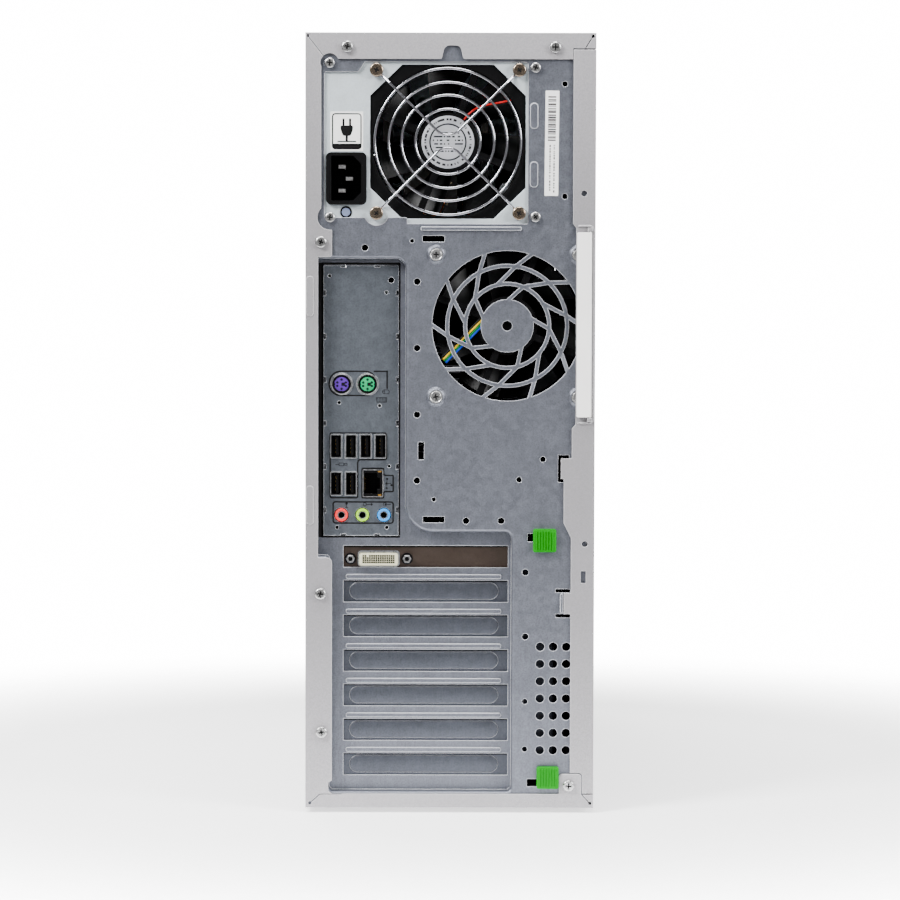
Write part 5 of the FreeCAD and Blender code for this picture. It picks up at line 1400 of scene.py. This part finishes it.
@dataclass
class DisplaySocket:
    """The display socket: a plated shell round a cream contact block, between two threaded posts."""

    at: tuple[float, float]
    columns: int = 15
    rows: int = 4
    pitch: float = 1.27
    spacing: float = 33.0
    half_hole: float = 0.47
    blank: tuple[int, int] = (2, 3)

    def build(self) -> None:
        """Makes the shell, the block, its contacts and the posts."""
        face, (x, z) = Room.of("video_connector").low[1], self.at
        shell, block = Stock(), Stock()
        shell.ring(rectangle_about(x, z, 12.0, 4.4), 0.5, (face, face + 6.0), 2.0)
        shell.plate(rectangle_about(x, z, 12.4, 4.8), (face + 5.0, face + 5.6), 2.2)
        block.plate(rectangle_about(x, z, 11.45, 3.85), (face + 0.25, face + 5.5), 1.6, edge=0.25)
        shell.piece("display_socket_shell", Body.CHASSIS, PORT_METAL, "bright_metal", ("video_connector",))
        block.piece("display_socket_block", Body.CHASSIS, CREAM, "connector_plastic")
        self._contacts(face)
        self._posts(face)

    def _contacts(self, face: float) -> None:
        """Marks the contact holes in their rows as near-black blocks of painted shade, but for the one place
        left blank.
        """
        dots, half = Stock(), self.half_hole
        for row in range(self.rows):
            for column in range(self.columns):
                if (column, row) != self.blank:
                    x = self.at[0] + self.pitch * (column - (self.columns - 1) / 2)
                    z = self.at[1] + self.pitch * (row - (self.rows - 1) / 2)
                    dots.block((x - half, face + 0.08, z - half), (x + half, face + 0.6, z + half))
        dots.piece("display_socket_contacts", Body.CHASSIS, CONTACT_HOLE_SHADE, "connector_plastic")

    def _posts(self, face: float) -> None:
        """Turns the two hexagonal posts, with black rods as painted shade in their bores, and dark washers.
        """
        posts, threads = Stock(), Stock()
        nut = [(1.35, 0.35), (1.6, 0.0), (2.2, 0.0), (2.5, 0.3), (2.5, 4.6), (1.35, 4.6)]
        washer = [(2.6, 4.1), (3.4, 4.2), (3.4, 4.7), (2.6, 4.7)]
        for side in (-1, 1):
            x, z = self.at[0] + side * self.spacing / 2, self.at[1]
            posts.turned(nut, (x, face + 0.4, z), steps=6)
            # Painted shade: a black rod inside each post's bore.
            threads.rod((x, face + 1.3, z), 1.45, 3.0, steps=20)
            threads.turned(washer, (x, face + 0.4, z), steps=30)
        posts.piece("display_socket_posts", Body.CHASSIS, SCREW, "bright_metal")
        threads.piece("display_post_threads", Body.CHASSIS, BLACK_SATIN_AND_SHADE, "black_plastic")


@dataclass
class ScrewMarks:
    """Black crosses as painted shade in the cross recesses of a node's screws."""

    node: str
    reach: float = 1.5
    half: float = 0.375

    def build(self) -> None:
        """Finds each screw of the node and draws its cross."""
        marks = Stock()
        for low, high in self._heads():
            x, z = (low[0] + high[0]) / 2, (low[2] + high[2]) / 2
            y = low[1]
            tilt = random.uniform(0.0, 90.0)
            cross = Stock()
            # Painted shade: two black bars for each cross recess.
            cross.block((x - self.reach, y - 0.010, z - self.half), (x + self.reach, y + 0.25, z + self.half))
            cross.block((x - self.half, y - 0.012, z - self.reach), (x + self.half, y + 0.24, z + self.reach))
            cross.turn(tilt, (x, y, z))
            data = bpy.data.meshes.new("cross")
            cross.mesh.to_mesh(data)
            cross.mesh.free()
            marks.mesh.from_mesh(data)
            bpy.data.meshes.remove(data)
        marks.piece(f"{self.node}_crosses", Body.CHASSIS, PRINT_AND_SHADE_BLACK, "black_plastic")

    def _heads(self) -> list[tuple[Vector, Vector]]:
        """The box of each loose part of the node, in millimetres."""
        mesh = bmesh.new()
        mesh.from_mesh(frame["nodes"][self.node].data)
        bmesh.ops.remove_doubles(mesh, verts=list(mesh.verts), dist=1e-6)
        left, boxes = set(mesh.verts), []
        while left:
            queue = [left.pop()]
            found = list(queue)
            while queue:
                for edge in queue.pop().link_edges:
                    for vert in edge.verts:
                        if vert in left:
                            left.remove(vert)
                            queue.append(vert)
                            found.append(vert)
            low = Vector([min(v.co[k] for v in found) for k in range(3)]) / MM
            high = Vector([max(v.co[k] for v in found) for k in range(3)]) / MM
            boxes.append((low, high))
        mesh.free()
        return boxes


@dataclass
class SupplyFanLead:
    """The supply fan's red and black wires, from its motor mount to the frame's rim in one easy curve."""

    def build(self) -> None:
        """Runs both wires in place of the plain lead."""
        room = Room.of("psu_fan_lead")
        x0, y, z0 = room.low[0], room.mid[1], room.low[2]
        x1, z1 = room.high[0], room.high[2]
        for word, finish, drop, back in (("red", RED_WIRE, 0.0, 0.0), ("black", BLACK_WIRE, -1.1, 0.5)):
            points = [(x0 + 0.8, y + back, z0 + 1.6 + drop), (x0 + 5.0, y + back, z0 + 7.0 + drop),
                      (x0 + 13.0, y + back, z1 - 1.6 + drop), (x0 + 21.0, y + back, z1 - 0.6 + drop),
                      (x1 + 0.6, y + back, z1 + 1.6 + drop)]
            stands_for = ("psu_fan_lead",) if word == "red" else ()
            wire = Stock().wire(points, 0.52)
            wire.piece(f"supply_fan_wire_{word}", Body.CHASSIS, finish, "lead_insulation", stands_for)


@dataclass
class SupplyInside:
    """What shows through the supply's fan, with the collar of its status lamp."""

    windings: tuple[tuple[float, float, float], ...] = ((-12.0, 356.0, 13.0), (14.0, 355.0, 11.0))
    cans: tuple[tuple[float, float], ...] = ((-38.0, 360.0), (34.0, 362.0))
    turns: int = 9
    corners: int = 12

    def build(self) -> None:
        """Adds the parts above the supply's board, and the lamp's collar."""
        y = Room.of("psu_board").low[1]
        coils, sleeves, caps = Stock(), Stock(), Stock()
        for x, z, size in self.windings:
            for k in range(self.turns):
                angles = [math.tau * i / self.corners for i in range(self.corners)]
                radius, level = size * 0.62, y + 3.0 + 1.25 * k
                loop = [(x + radius * math.cos(a), level, z + radius * math.sin(a)) for a in angles]
                coils.wire(loop + loop[:1], 0.6, 3, 1)
        for x, z in self.cans:
            sleeves.rod((x, y + 2.0, z), 7.0, 16.0, bevel=0.8)
            caps.rod((x, y + 1.8, z), 6.2, 0.6, bevel=0.2)
        self._collar()
        coils.piece("supply_windings", Body.CHASSIS, COPPER, "bright_metal")
        sleeves.piece("supply_capacitor_sleeves", Body.CHASSIS, BLACK_SATIN_AND_SHADE, "black_plastic")
        caps.piece("supply_capacitor_tops", Body.CHASSIS, PORT_METAL, "bright_metal")

    def _collar(self) -> None:
        """Rings the status lamp."""
        lens = Room.of("psu_status_led")
        profile = [(2.5, 0.1), (2.5, -0.45), (3.1, -0.5), (3.5, -0.05), (3.5, 0.1)]
        collar = Stock().turned(profile, (lens.mid[0], lens.low[1] + 0.8, lens.mid[2]), steps=40)
        collar.piece("supply_lamp_collar", Body.CHASSIS, BLACK_SATIN_AND_SHADE, "black_plastic")


@dataclass
class BoardParts:
    """The populated side of the main board: capacitors, chokes, chips, battery, plugs and jumpers."""

    small_cans: tuple[tuple[float, float], ...] = (
        (-40.0, 176.0), (-52.0, 176.0), (6.0, 160.0), (6.0, 148.0), (-90.0, 178.0), (-130.0, 178.0),
        (18.0, 190.0))
    packages: tuple[tuple[float, float, float], ...] = (
        (-40.0, 60.0, 8.0), (-36.0, 84.0, 8.0), (-8.0, 66.0, 6.0), (-186.0, 120.0, 5.0), (-50.0, 36.0, 5.0))

    def build(self) -> None:
        """Makes every kind of component in place of the plain blocks."""
        face = Room.of("motherboard").high[0]
        sleeves, tops, chokes, chips, plugs, pins = Stock(), Stock(), Stock(), Stock(), Stock(), Stock()
        self._power_stage(face, sleeves, tops, chokes)
        self._packages(face, chips)
        # A small lit lens, its glow a little uneven.
        self._plugs(face, plugs, pins)
        battery = Stock().rod((face, -20.0, 96.0), 10.0, 4.0, Axis.X, bevel=0.5)
        battery.piece("board_battery", Body.CHASSIS, SCREW, "bright_metal")
        plugs.piece("board_plugs", Body.CHASSIS, NAVY, "connector_plastic")
        sleeves.piece("board_capacitors", Body.CHASSIS, BLACK_SATIN_AND_SHADE, "black_plastic", ("board_components",))
        tops.piece("board_capacitor_tops", Body.CHASSIS, PORT_METAL, "bright_metal")
        chokes.piece("board_chokes", Body.CHASSIS, BLACK, "black_plastic")
        chips.piece("board_chips", Body.CHASSIS, BLACK_SATIN_AND_SHADE, "black_plastic")
        pins.piece("board_plug_pins", Body.CHASSIS, BRASS, "bright_metal")

    def _power_stage(self, face: float, sleeves: Stock, tops: Stock, chokes: Stock) -> None:
        """Lines up seven large capacitors with a choke behind each, and sets the small ones."""
        cans = [(-172.0, 196.0 + 12.0 * k, 4.0, 12.0) for k in range(7)]
        cans += [(y, z, 3.2, 9.0) for y, z in self.small_cans]
        for y, z, radius, high in cans:
            sleeves.rod((face, y, z), radius, high, Axis.X, bevel=0.4, steps=28)
            tops.rod((face + high - 0.1, y, z), radius - 0.5, 0.25, Axis.X, bevel=0.08, steps=28)
        for _, z, _, _ in cans[:7]:
            chokes.block((face, -188.0, z - 4.0), (face + 7.0, -180.0, z + 4.0), 0.8)

    def _packages(self, face: float, chips: Stock) -> None:
        """Sets the chip packages and a field of small parts in staggered rows."""
        for y, z, half in self.packages:
            chips.block((face, y - half, z - half), (face + 1.6, y + half, z + half), 0.15, 1)
        for row in range(9):
            for column in range(5):
                y, z = -196.0 + 9.0 * column + 2.0 * (row % 2), 30.0 + 11.5 * row
                chips.block((face, y, z), (face + 0.8, y + 2.0, z + 1.2))

    def _plugs(self, face: float, plugs: Stock, pins: Stock) -> None:
        """Adds four small headers, and the main power plug with its two rows of pins."""
        for k in range(4):
            plugs.block((face, 12.0, 40.0 + 22.0 * k), (face + 9.0, 20.0, 54.0 + 22.0 * k), 0.4, 1)
        plugs.block((face, 22.0, 200.0), (face + 12.0, 31.0, 252.0), 0.5, 1)
        for k in range(12):
            for y in (24.4, 28.6):
                z = 203.5 + 4.2 * k
                pins.block((face, y - 0.5, z), (face + 12.2, y + 0.5, z + 1.0))


@dataclass
class MemoryChips:
    """The chips and the edge contacts of the two memory modules."""

    def build(self) -> None:
        """Adds black chips on both faces and gold fingers along the foot."""
        face = Room.of("motherboard").high[0]
        chips, fingers, labels = Stock(), Stock(), Stock()
        for y in (-18.0, 3.0):
            for k in range(8):
                z = 183.0 + 15.6 * k
                chips.block((face + 14.0, y - 1.9, z), (face + 26.0, y - 0.62, z + 10.0), 0.12, 1)
                chips.block((face + 14.0, y + 0.62, z), (face + 26.0, y + 1.5, z + 10.0), 0.12, 1)
            for k in range(52):
                z = 178.0 + 2.5 * k
                fingers.block((face + 8.2, y - 0.66, z), (face + 10.8, y + 0.66, z + 1.4))
            labels.block((face + 15.0, y - 1.98, 214.5), (face + 25.0, y - 1.88, 239.5))
        chips.piece("memory_chips", Body.CHASSIS, BLACK_SATIN_AND_SHADE, "black_plastic")
        fingers.piece("memory_contacts", Body.CHASSIS, BRASS, "bright_metal")
        labels.piece("memory_labels", Body.CHASSIS, PRINTED_LABEL, "paper_label")


@dataclass
class DiskDrives:
    """The two disk drives: cast bodies with pressed lids, labels, screws and rear sockets."""

    levels: tuple[float, ...] = (78.0, 158.0)
    screw: tuple[tuple[float, float], ...] = ((0.6, 0.3), (1.5, 0.3), (2.4, 0.15), (2.6, -0.6), (0.6, -0.6))

    def build(self) -> None:
        """Makes both drives in place of the plain blocks."""
        room = Room.of("hard_drives")
        (x0, y0, _), (x1, y1, _) = room.low, room.high
        bodies, lids, labels, screws, sockets, boards = Stock(), Stock(), Stock(), Stock(), Stock(), Stock()
        for z in self.levels:
            bodies.block((x0, y0, z + 1.6), (x1, y1, z + 23.6), 0.9)
            boards.block((x0 + 4.0, y0 + 3.0, z), (x1 - 4.0, y1 - 3.0, z + 1.7))
            lid = rectangle((x0 + 3.5, y0 + 3.0), (x1 - 3.5, y1 - 3.0))
            lids.plate(lid, (z + 23.5, z + 25.2), 6.0, Axis.Z, edge=0.5)
            lids.rod((0.0, (y0 + y1) / 2, z + 25.1), 30.0, 0.6, Axis.Z, bevel=0.3)
            labels.block((x0 + 22.0, y0 + 16.0, z + 25.15), (x0 + 60.0, y1 - 16.0, z + 25.3))
            for px in (x0 + 7.0, x1 - 7.0):
                for py in (y0 + 7.0, (y0 + y1) / 2, y1 - 7.0):
                    screws.turned(self.screw, (px, py, z + 25.6), Axis.Z, 20)
            sockets.block((x1 - 62.0, y0 - 0.02, z + 4.0), (x1 - 22.0, y0 + 3.0, z + 9.0), 0.3, 1)
        bodies.piece("disk_drive_bodies", Body.CHASSIS, CAST, "heatsink_aluminium", ("hard_drives",))
        lids.piece("disk_drive_lids", Body.CHASSIS, ALUMINIUM, "heatsink_aluminium")
        labels.piece("disk_drive_labels", Body.CHASSIS, PRINTED_LABEL, "paper_label")
        screws.piece("disk_drive_screws", Body.CHASSIS, SCREW, "bright_metal")
        sockets.piece("disk_drive_sockets", Body.CHASSIS, BLACK_SATIN_AND_SHADE, "black_plastic")
        boards.piece("disk_drive_boards", Body.CHASSIS, CARD, "circuit_board")


@dataclass
class FrontFace:
    """What finishes the front: black sheets of painted shade behind the intake and other openings, button
    sign, lamps and socket liners.
    """

    power: tuple[float, float] = (44.0, 260.0)

    def build(self) -> None:
        """Makes every front detail."""
        face = Room.of("front_bezel").high[1]
        # Painted shade: a black sheet behind the intake openings.
        screen = Stock().block((-66.0, face - 12.4, 30.0), (66.0, face - 11.2, 224.0), 0.2, 1)
        screen.piece("intake_screen", Body.CHASSIS, SHADE_SHEET, "black_plastic")
        # Painted shade: black sheets behind the bay openings and round the button.
        shade = Stock().block((-74.0, face - 12.0, 316.0), (74.0, face - 11.0, 398.0), 0.2, 1)
        x, z = self.power
        shade.turned([(4.4, 0.0), (12.0, 0.0), (12.0, 0.6), (4.4, 0.6)], (x, face - 12.2, z))
        shade.piece("front_shades", Body.CHASSIS, SHADE_SHEET, "black_plastic")
        self._button()
        self._blanks()
        self._lamps(face)
        self._sockets()
        self._drive_face()

    def _button(self) -> None:
        """Draws a broken ring and a bar on the button, and rings it with bright trim."""
        x, z = self.power
        top = Room.of("power_button").high[1]
        sign, trim = Stock(), Stock()
        sign.turned([(3.3, -0.02), (3.9, -0.02), (3.9, 0.05), (3.3, 0.05)], (x, top, z), steps=48)
        sign.block((x - 0.3, top - 0.02, z + 1.2), (x + 0.3, top + 0.05, z + 5.0), 0.1, 1)
        trim.turned([(7.6, -0.3), (7.8, 0.12), (8.5, 0.12), (8.8, -0.3)], (x, top, z), steps=64)
        sign.piece("power_sign", Body.POWER, INK_WHITE, "paper_label")
        trim.piece("power_trim", Body.POWER, CHROME, "bright_metal")

    def _blanks(self) -> None:
        """Moulds the blank bay fronts with a finger scoop line and fine ribs, in place of the plain ones."""
        room = Room.of("bay_blanks")
        (x0, _, z0), (x1, face, z1) = room.low, room.high
        middle = (z0 + z1) / 2
        fronts = Stock()
        for low, high in ((z0, middle - 0.4), (middle + 0.4, z1)):
            fronts.plate(rectangle((x0, low), (x1, high)), (face - 3.0, face), 1.2, edge=0.45)
            for k in range(4):
                z = low + 6.0 + 2.2 * k
                fronts.block((x0 + 9.0, face - 0.2, z), (x1 - 9.0, face + 0.45, z + 1.0), 0.2)
            for x in (x0 + 0.8, x1 - 2.2):
                fronts.block((x, face - 22.0, low + 10.0), (x + 1.4, face - 2.5, high - 10.0), 0.2, 1)
        fronts.piece("bay_fronts", Body.CHASSIS, BEZEL_SILVER, "bezel_plastic", ("bay_blanks",))

    def _lamps(self, face: float) -> None:
        """Sets two small lamps beside the button."""
        x, z = self.power
        for word, shift, finish in (("power", -5.0, LED), ("activity", 5.0, AMBER)):
            lens = Stock().rod((x - 20.0, face - 0.7, z + shift), 1.3, 0.7, bevel=0.3, steps=24)
            lens.piece(f"{word}_lamp", Body.CHASSIS, finish, "lamp")

    def _sockets(self) -> None:
        """Lines the front sockets and adds their tongues."""
        room = Room.of("front_ports")
        mouth = room.high[1]
        liners, tongues, collars = Stock(), Stock(), Stock()
        for z in (263.0, 252.0):
            x = -46.0
            liners.ring(rectangle_about(x, z, 6.15, 2.35), 0.3, (mouth - 11.0, mouth - 0.2), 0.2)
            tongues.block((x - 5.4, mouth - 9.5, z + 0.1), (x + 5.4, mouth - 1.2, z + 1.6), 0.2, 1)
            profile = [(1.8, 0.1), (3.2, 0.1), (3.35, -0.1), (3.35, -2.0), (1.8, -2.0)]
            collars.turned(profile, (-22.0, mouth, z), steps=32)
        liners.piece("front_socket_liners", Body.CHASSIS, BLACK_SATIN_AND_SHADE, "black_plastic")
        tongues.piece("front_socket_tongues", Body.CHASSIS, NAVY, "connector_plastic")
        collars.piece("front_sound_collars", Body.CHASSIS, BLACK_SATIN_AND_SHADE, "black_plastic")

    def _drive_face(self) -> None:
        """Fronts the disc drive in plastic, with its lamp and release hole."""
        room, tray, key = Room.of("optical_drive"), Room.of("optical_tray"), Room.of("eject_button")
        face, low, high = room.high[1], room.low[2], room.high[2]
        x1, span = room.high[0], (face - 0.6, face + 0.12)
        front = Stock()
        front.plate(rectangle((-x1, tray.high[2] + 0.5), (x1, high)), span, 0.9, edge=0.3)
        left, right = tray.low[0] - 0.5, tray.high[0] + 0.5
        below = tray.low[2] + 0.2
        front.block((-x1, span[0], below), (left, span[1], tray.high[2] + 0.6), 0.1, 1)
        front.block((right, span[0], below), (x1, span[1], tray.high[2] + 0.6), 0.1, 1)
        near, far = key.low[0] - 0.3, key.high[0] + 0.3
        front.block((-x1, span[0], low), (near, span[1], below), 0.1, 1)
        front.block((far, span[0], low), (x1, span[1], below), 0.1, 1)
        front.block((near, span[0], low), (far, span[1], key.low[2] - 0.3), 0.1, 1)
        front.block((near, span[0], key.high[2] + 0.3), (far, span[1], below), 0.1, 1)
        front.piece("disc_drive_front", Body.CHASSIS, BEZEL_SILVER, "bezel_plastic")
        lamp = Stock().block((-52.0, face - 0.4, low + 6.6), (-47.0, face + 0.35, low + 8.0), 0.15, 1)
        lamp.piece("disc_drive_lamp", Body.CHASSIS, GLASS, "lamp")
        # Painted shade: a black disc for the release hole.
        hole = Stock().rod((30.0, face + 0.1, low + 7.0), 0.75, 0.05, steps=16)
        hole.piece("disc_release_hole", Body.CHASSIS, PRINT_AND_SHADE_BLACK, "black_plastic")


@dataclass
class InnerLabels:
    """The printed labels on the supply's side and on the disc drive's steel case."""

    def build(self) -> None:
        """Sticks both labels on."""
        supply, drive = Room.of("psu_case"), Room.of("optical_drive")
        stickers = Stock()
        side, y = supply.high[0], supply.mid[1]
        stickers.block((side - 0.02, y - 52.0, 352.0), (side + 0.12, y + 40.0, 428.0))
        left, top = drive.low[0] + 40.0, drive.high[2]
        stickers.block((left, 40.0, top - 0.02), (left + 70.0, 110.0, top + 0.1))
        stickers.block((drive.high[0] - 1.2, 24.0, 410.0), (drive.high[0] - 0.85, 56.0, 424.0))
        stickers.piece("inner_labels", Body.CHASSIS, PRINTED_LABEL, "paper_label")


@dataclass
class CageRivets:
    """The drive cage's rivets."""

    def build(self) -> None:
        """Sets a column of rivets down each front edge of the cage."""
        cage = Room.of("drive_cage")
        rivets = Stock()
        head = [(0.01, 0.8), (1.4, 0.7), (2.1, 0.3), (2.3, -0.1), (0.01, -0.1)]
        x, y0, y1 = cage.high[0], cage.low[1], cage.high[1]
        for z in (68.0, 150.0, 222.0, 236.0, 298.0, 312.0, 372.0, 434.0):
            for y in (y0 + 5.0, y1 - 5.0):
                rivets.turned(head, (x, y, z), Axis.X, 20)
        rivets.piece("cage_rivets", Body.CHASSIS, SCREW, "bright_metal")


# ---------------------------------------------------------------- studio
@dataclass(frozen=True)
class StudioPaper(Finish):
    """The floor's bright paper, which fades into the surround away from the object."""

    near: float = 0.30
    far: float = 0.62
    glow: float = 1.2

    def skin(self, g: Graph) -> Skin:
        """Describes the surface."""
        spot = g.place()
        x, y, _ = g.split(spot)
        reach = (x * x + y * y).root()
        fibre = g.noise(spot, 300.0, 2.0)
        colour = g.mixed(fibre * 0.04, self.shade, scaled(self.shade, 0.9))
        fade = reach.remap(self.near, self.far, 1.0, 0.0)
        fixed = {"Emission Color": self.shade, "Emission Strength": self.glow, "Alpha": fade}
        return Skin(colour, 0.8, 0.0, None, fixed=fixed)


@dataclass
class Studio:
    """The pale floor, the soft lights and the camera."""

    distance: float = 1900.0
    pitch: float = 2.9
    lens: float = 131.0
    roll: float = 0.13
    aim: tuple[float, float, float] = (0.0, -225.0, 212.0)
    surround: float = 0.30
    backdrop: float = 16.0

    def build(self) -> None:
        """Makes the whole setting."""
        self._floor()
        self._world()
        self._light("key", (-1300.0, -1300.0, 1500.0), 700.0, 87.0)
        self._light("fill", (1500.0, -1200.0, 900.0), 700.0, 49.0)
        self._light("top", (0.0, -500.0, 1900.0), 900.0, 52.0)
        self._light("behind", (-500.0, 1500.0, 1300.0), 1400.0, 40.0)
        self._camera()

    def _floor(self) -> None:
        """Lays the floor."""
        stock = Stock().rod((0.0, 0.0, -8.0), 700.0, 8.0, Axis.Z, steps=96)
        data = bpy.data.meshes.new("studio_floor")
        bmesh.ops.scale(stock.mesh, vec=(MM, MM, MM), verts=list(stock.mesh.verts))
        stock.mesh.to_mesh(data)
        stock.mesh.free()
        floor = bpy.data.objects.new("studio_floor", data)
        bpy.context.scene.collection.objects.link(floor)
        data.materials.append(StudioPaper("studio_paper", tint(250, 250, 250)).material())

    def _world(self) -> None:
        """Sets an even pale surround."""
        world = bpy.data.worlds.new("studio_surround")
        world.use_nodes = True
        g = Graph(world.node_tree)
        seen = g.value("ShaderNodeLightPath", {}, {}, "Is Camera Ray")
        strength = seen.remap(0.0, 1.0, self.surround, self.backdrop)
        sky = g.value("ShaderNodeBackground", {}, {"Color": (1.0, 1.0, 1.0, 1.0), "Strength": strength})
        g.node("ShaderNodeOutputWorld", {}, {"Surface": sky})
        bpy.context.scene.world = world

    def _light(self, name: str, place: Point, size: float, power: float) -> None:
        """Hangs one soft panel that faces the object's middle.

        Args:
            name: The light's name.
            place: Where it hangs, in millimetres.
            size: Its side, in millimetres.
            power: Its power in watts.
        """
        data = bpy.data.lights.new(name, "AREA")
        data.size = size * MM
        data.energy = power
        lamp = bpy.data.objects.new(name, data)
        lamp.location = Vector(place) * MM
        lamp.rotation_euler = (Vector((0.0, 0.0, 220.0)) - Vector(place)).to_track_quat("-Z", "Y").to_euler()
        bpy.context.scene.collection.objects.link(lamp)

    def _camera(self) -> None:
        """Places the camera."""
        tilt = math.radians(self.pitch)
        aim = Vector(self.aim)
        place = aim + Vector((0.0, -math.cos(tilt), math.sin(tilt))) * self.distance
        data = bpy.data.cameras.new("camera")
        data.lens = self.lens
        data.sensor_width = 36.0
        data.clip_end = 50.0
        camera = bpy.data.objects.new("camera", data)
        look = (aim - place).to_track_quat("-Z", "Y").to_matrix().to_4x4()
        roll = Matrix.Rotation(math.radians(self.roll), 4, "Z")
        camera.matrix_world = Matrix.Translation(place * MM) @ look @ roll
        bpy.context.scene.collection.objects.link(camera)
        bpy.context.scene.camera = camera


def main() -> None:
    """Builds every part of the looks in order."""
    logging.basicConfig(level=logging.INFO, format="%(name)s %(message)s")
    random.seed(11)
    Studio().build()
    Dresser().dress(frame["nodes"])
    ShieldPrint().build()
    DataSockets().build()
    NetworkSocket().build()
    FanRotor("psu_fan_rotor", "psu_fan_blades", Body.PSU_FAN, Axis.Y, 17.0, 42.2, 7).build()
    FanRotor("rear_fan_rotor", "case_fan_blades", Body.REAR_FAN, Axis.Y, 17.0, 42.2, 7).build()
    FanRotor("cpu_fan_rotor", "processor_fan_blades", Body.CPU_FAN, Axis.X, 16.0, 36.4, 9, -1.0).build()
    HubDisc().build()
    FanWires().build()
    Labels().build()
    SlotCovers().build()
    FanScrewCups().build()
    RoundSockets(((-63.2, 249.8, PURPLE), (-48.1, 249.8, MINT))).build()
    SoundSockets(((-63.3, 173.5, PINK), (-51.0, 173.5, LIME), (-38.5, 173.5, SKY))).build()
    DisplaySocket((-41.5, 147.9)).build()
    for node in ("cover_screws", "psu_screws", "psu_fan_screws", "rear_fan_screws"):
        ScrewMarks(node).build()
    SupplyFanLead().build()
    SupplyInside().build()
    BoardParts().build()
    MemoryChips().build()
    DiskDrives().build()
    FrontFace().build()
    InnerLabels().build()
    CageRivets().build()


if __name__ == "__main__":
    main()
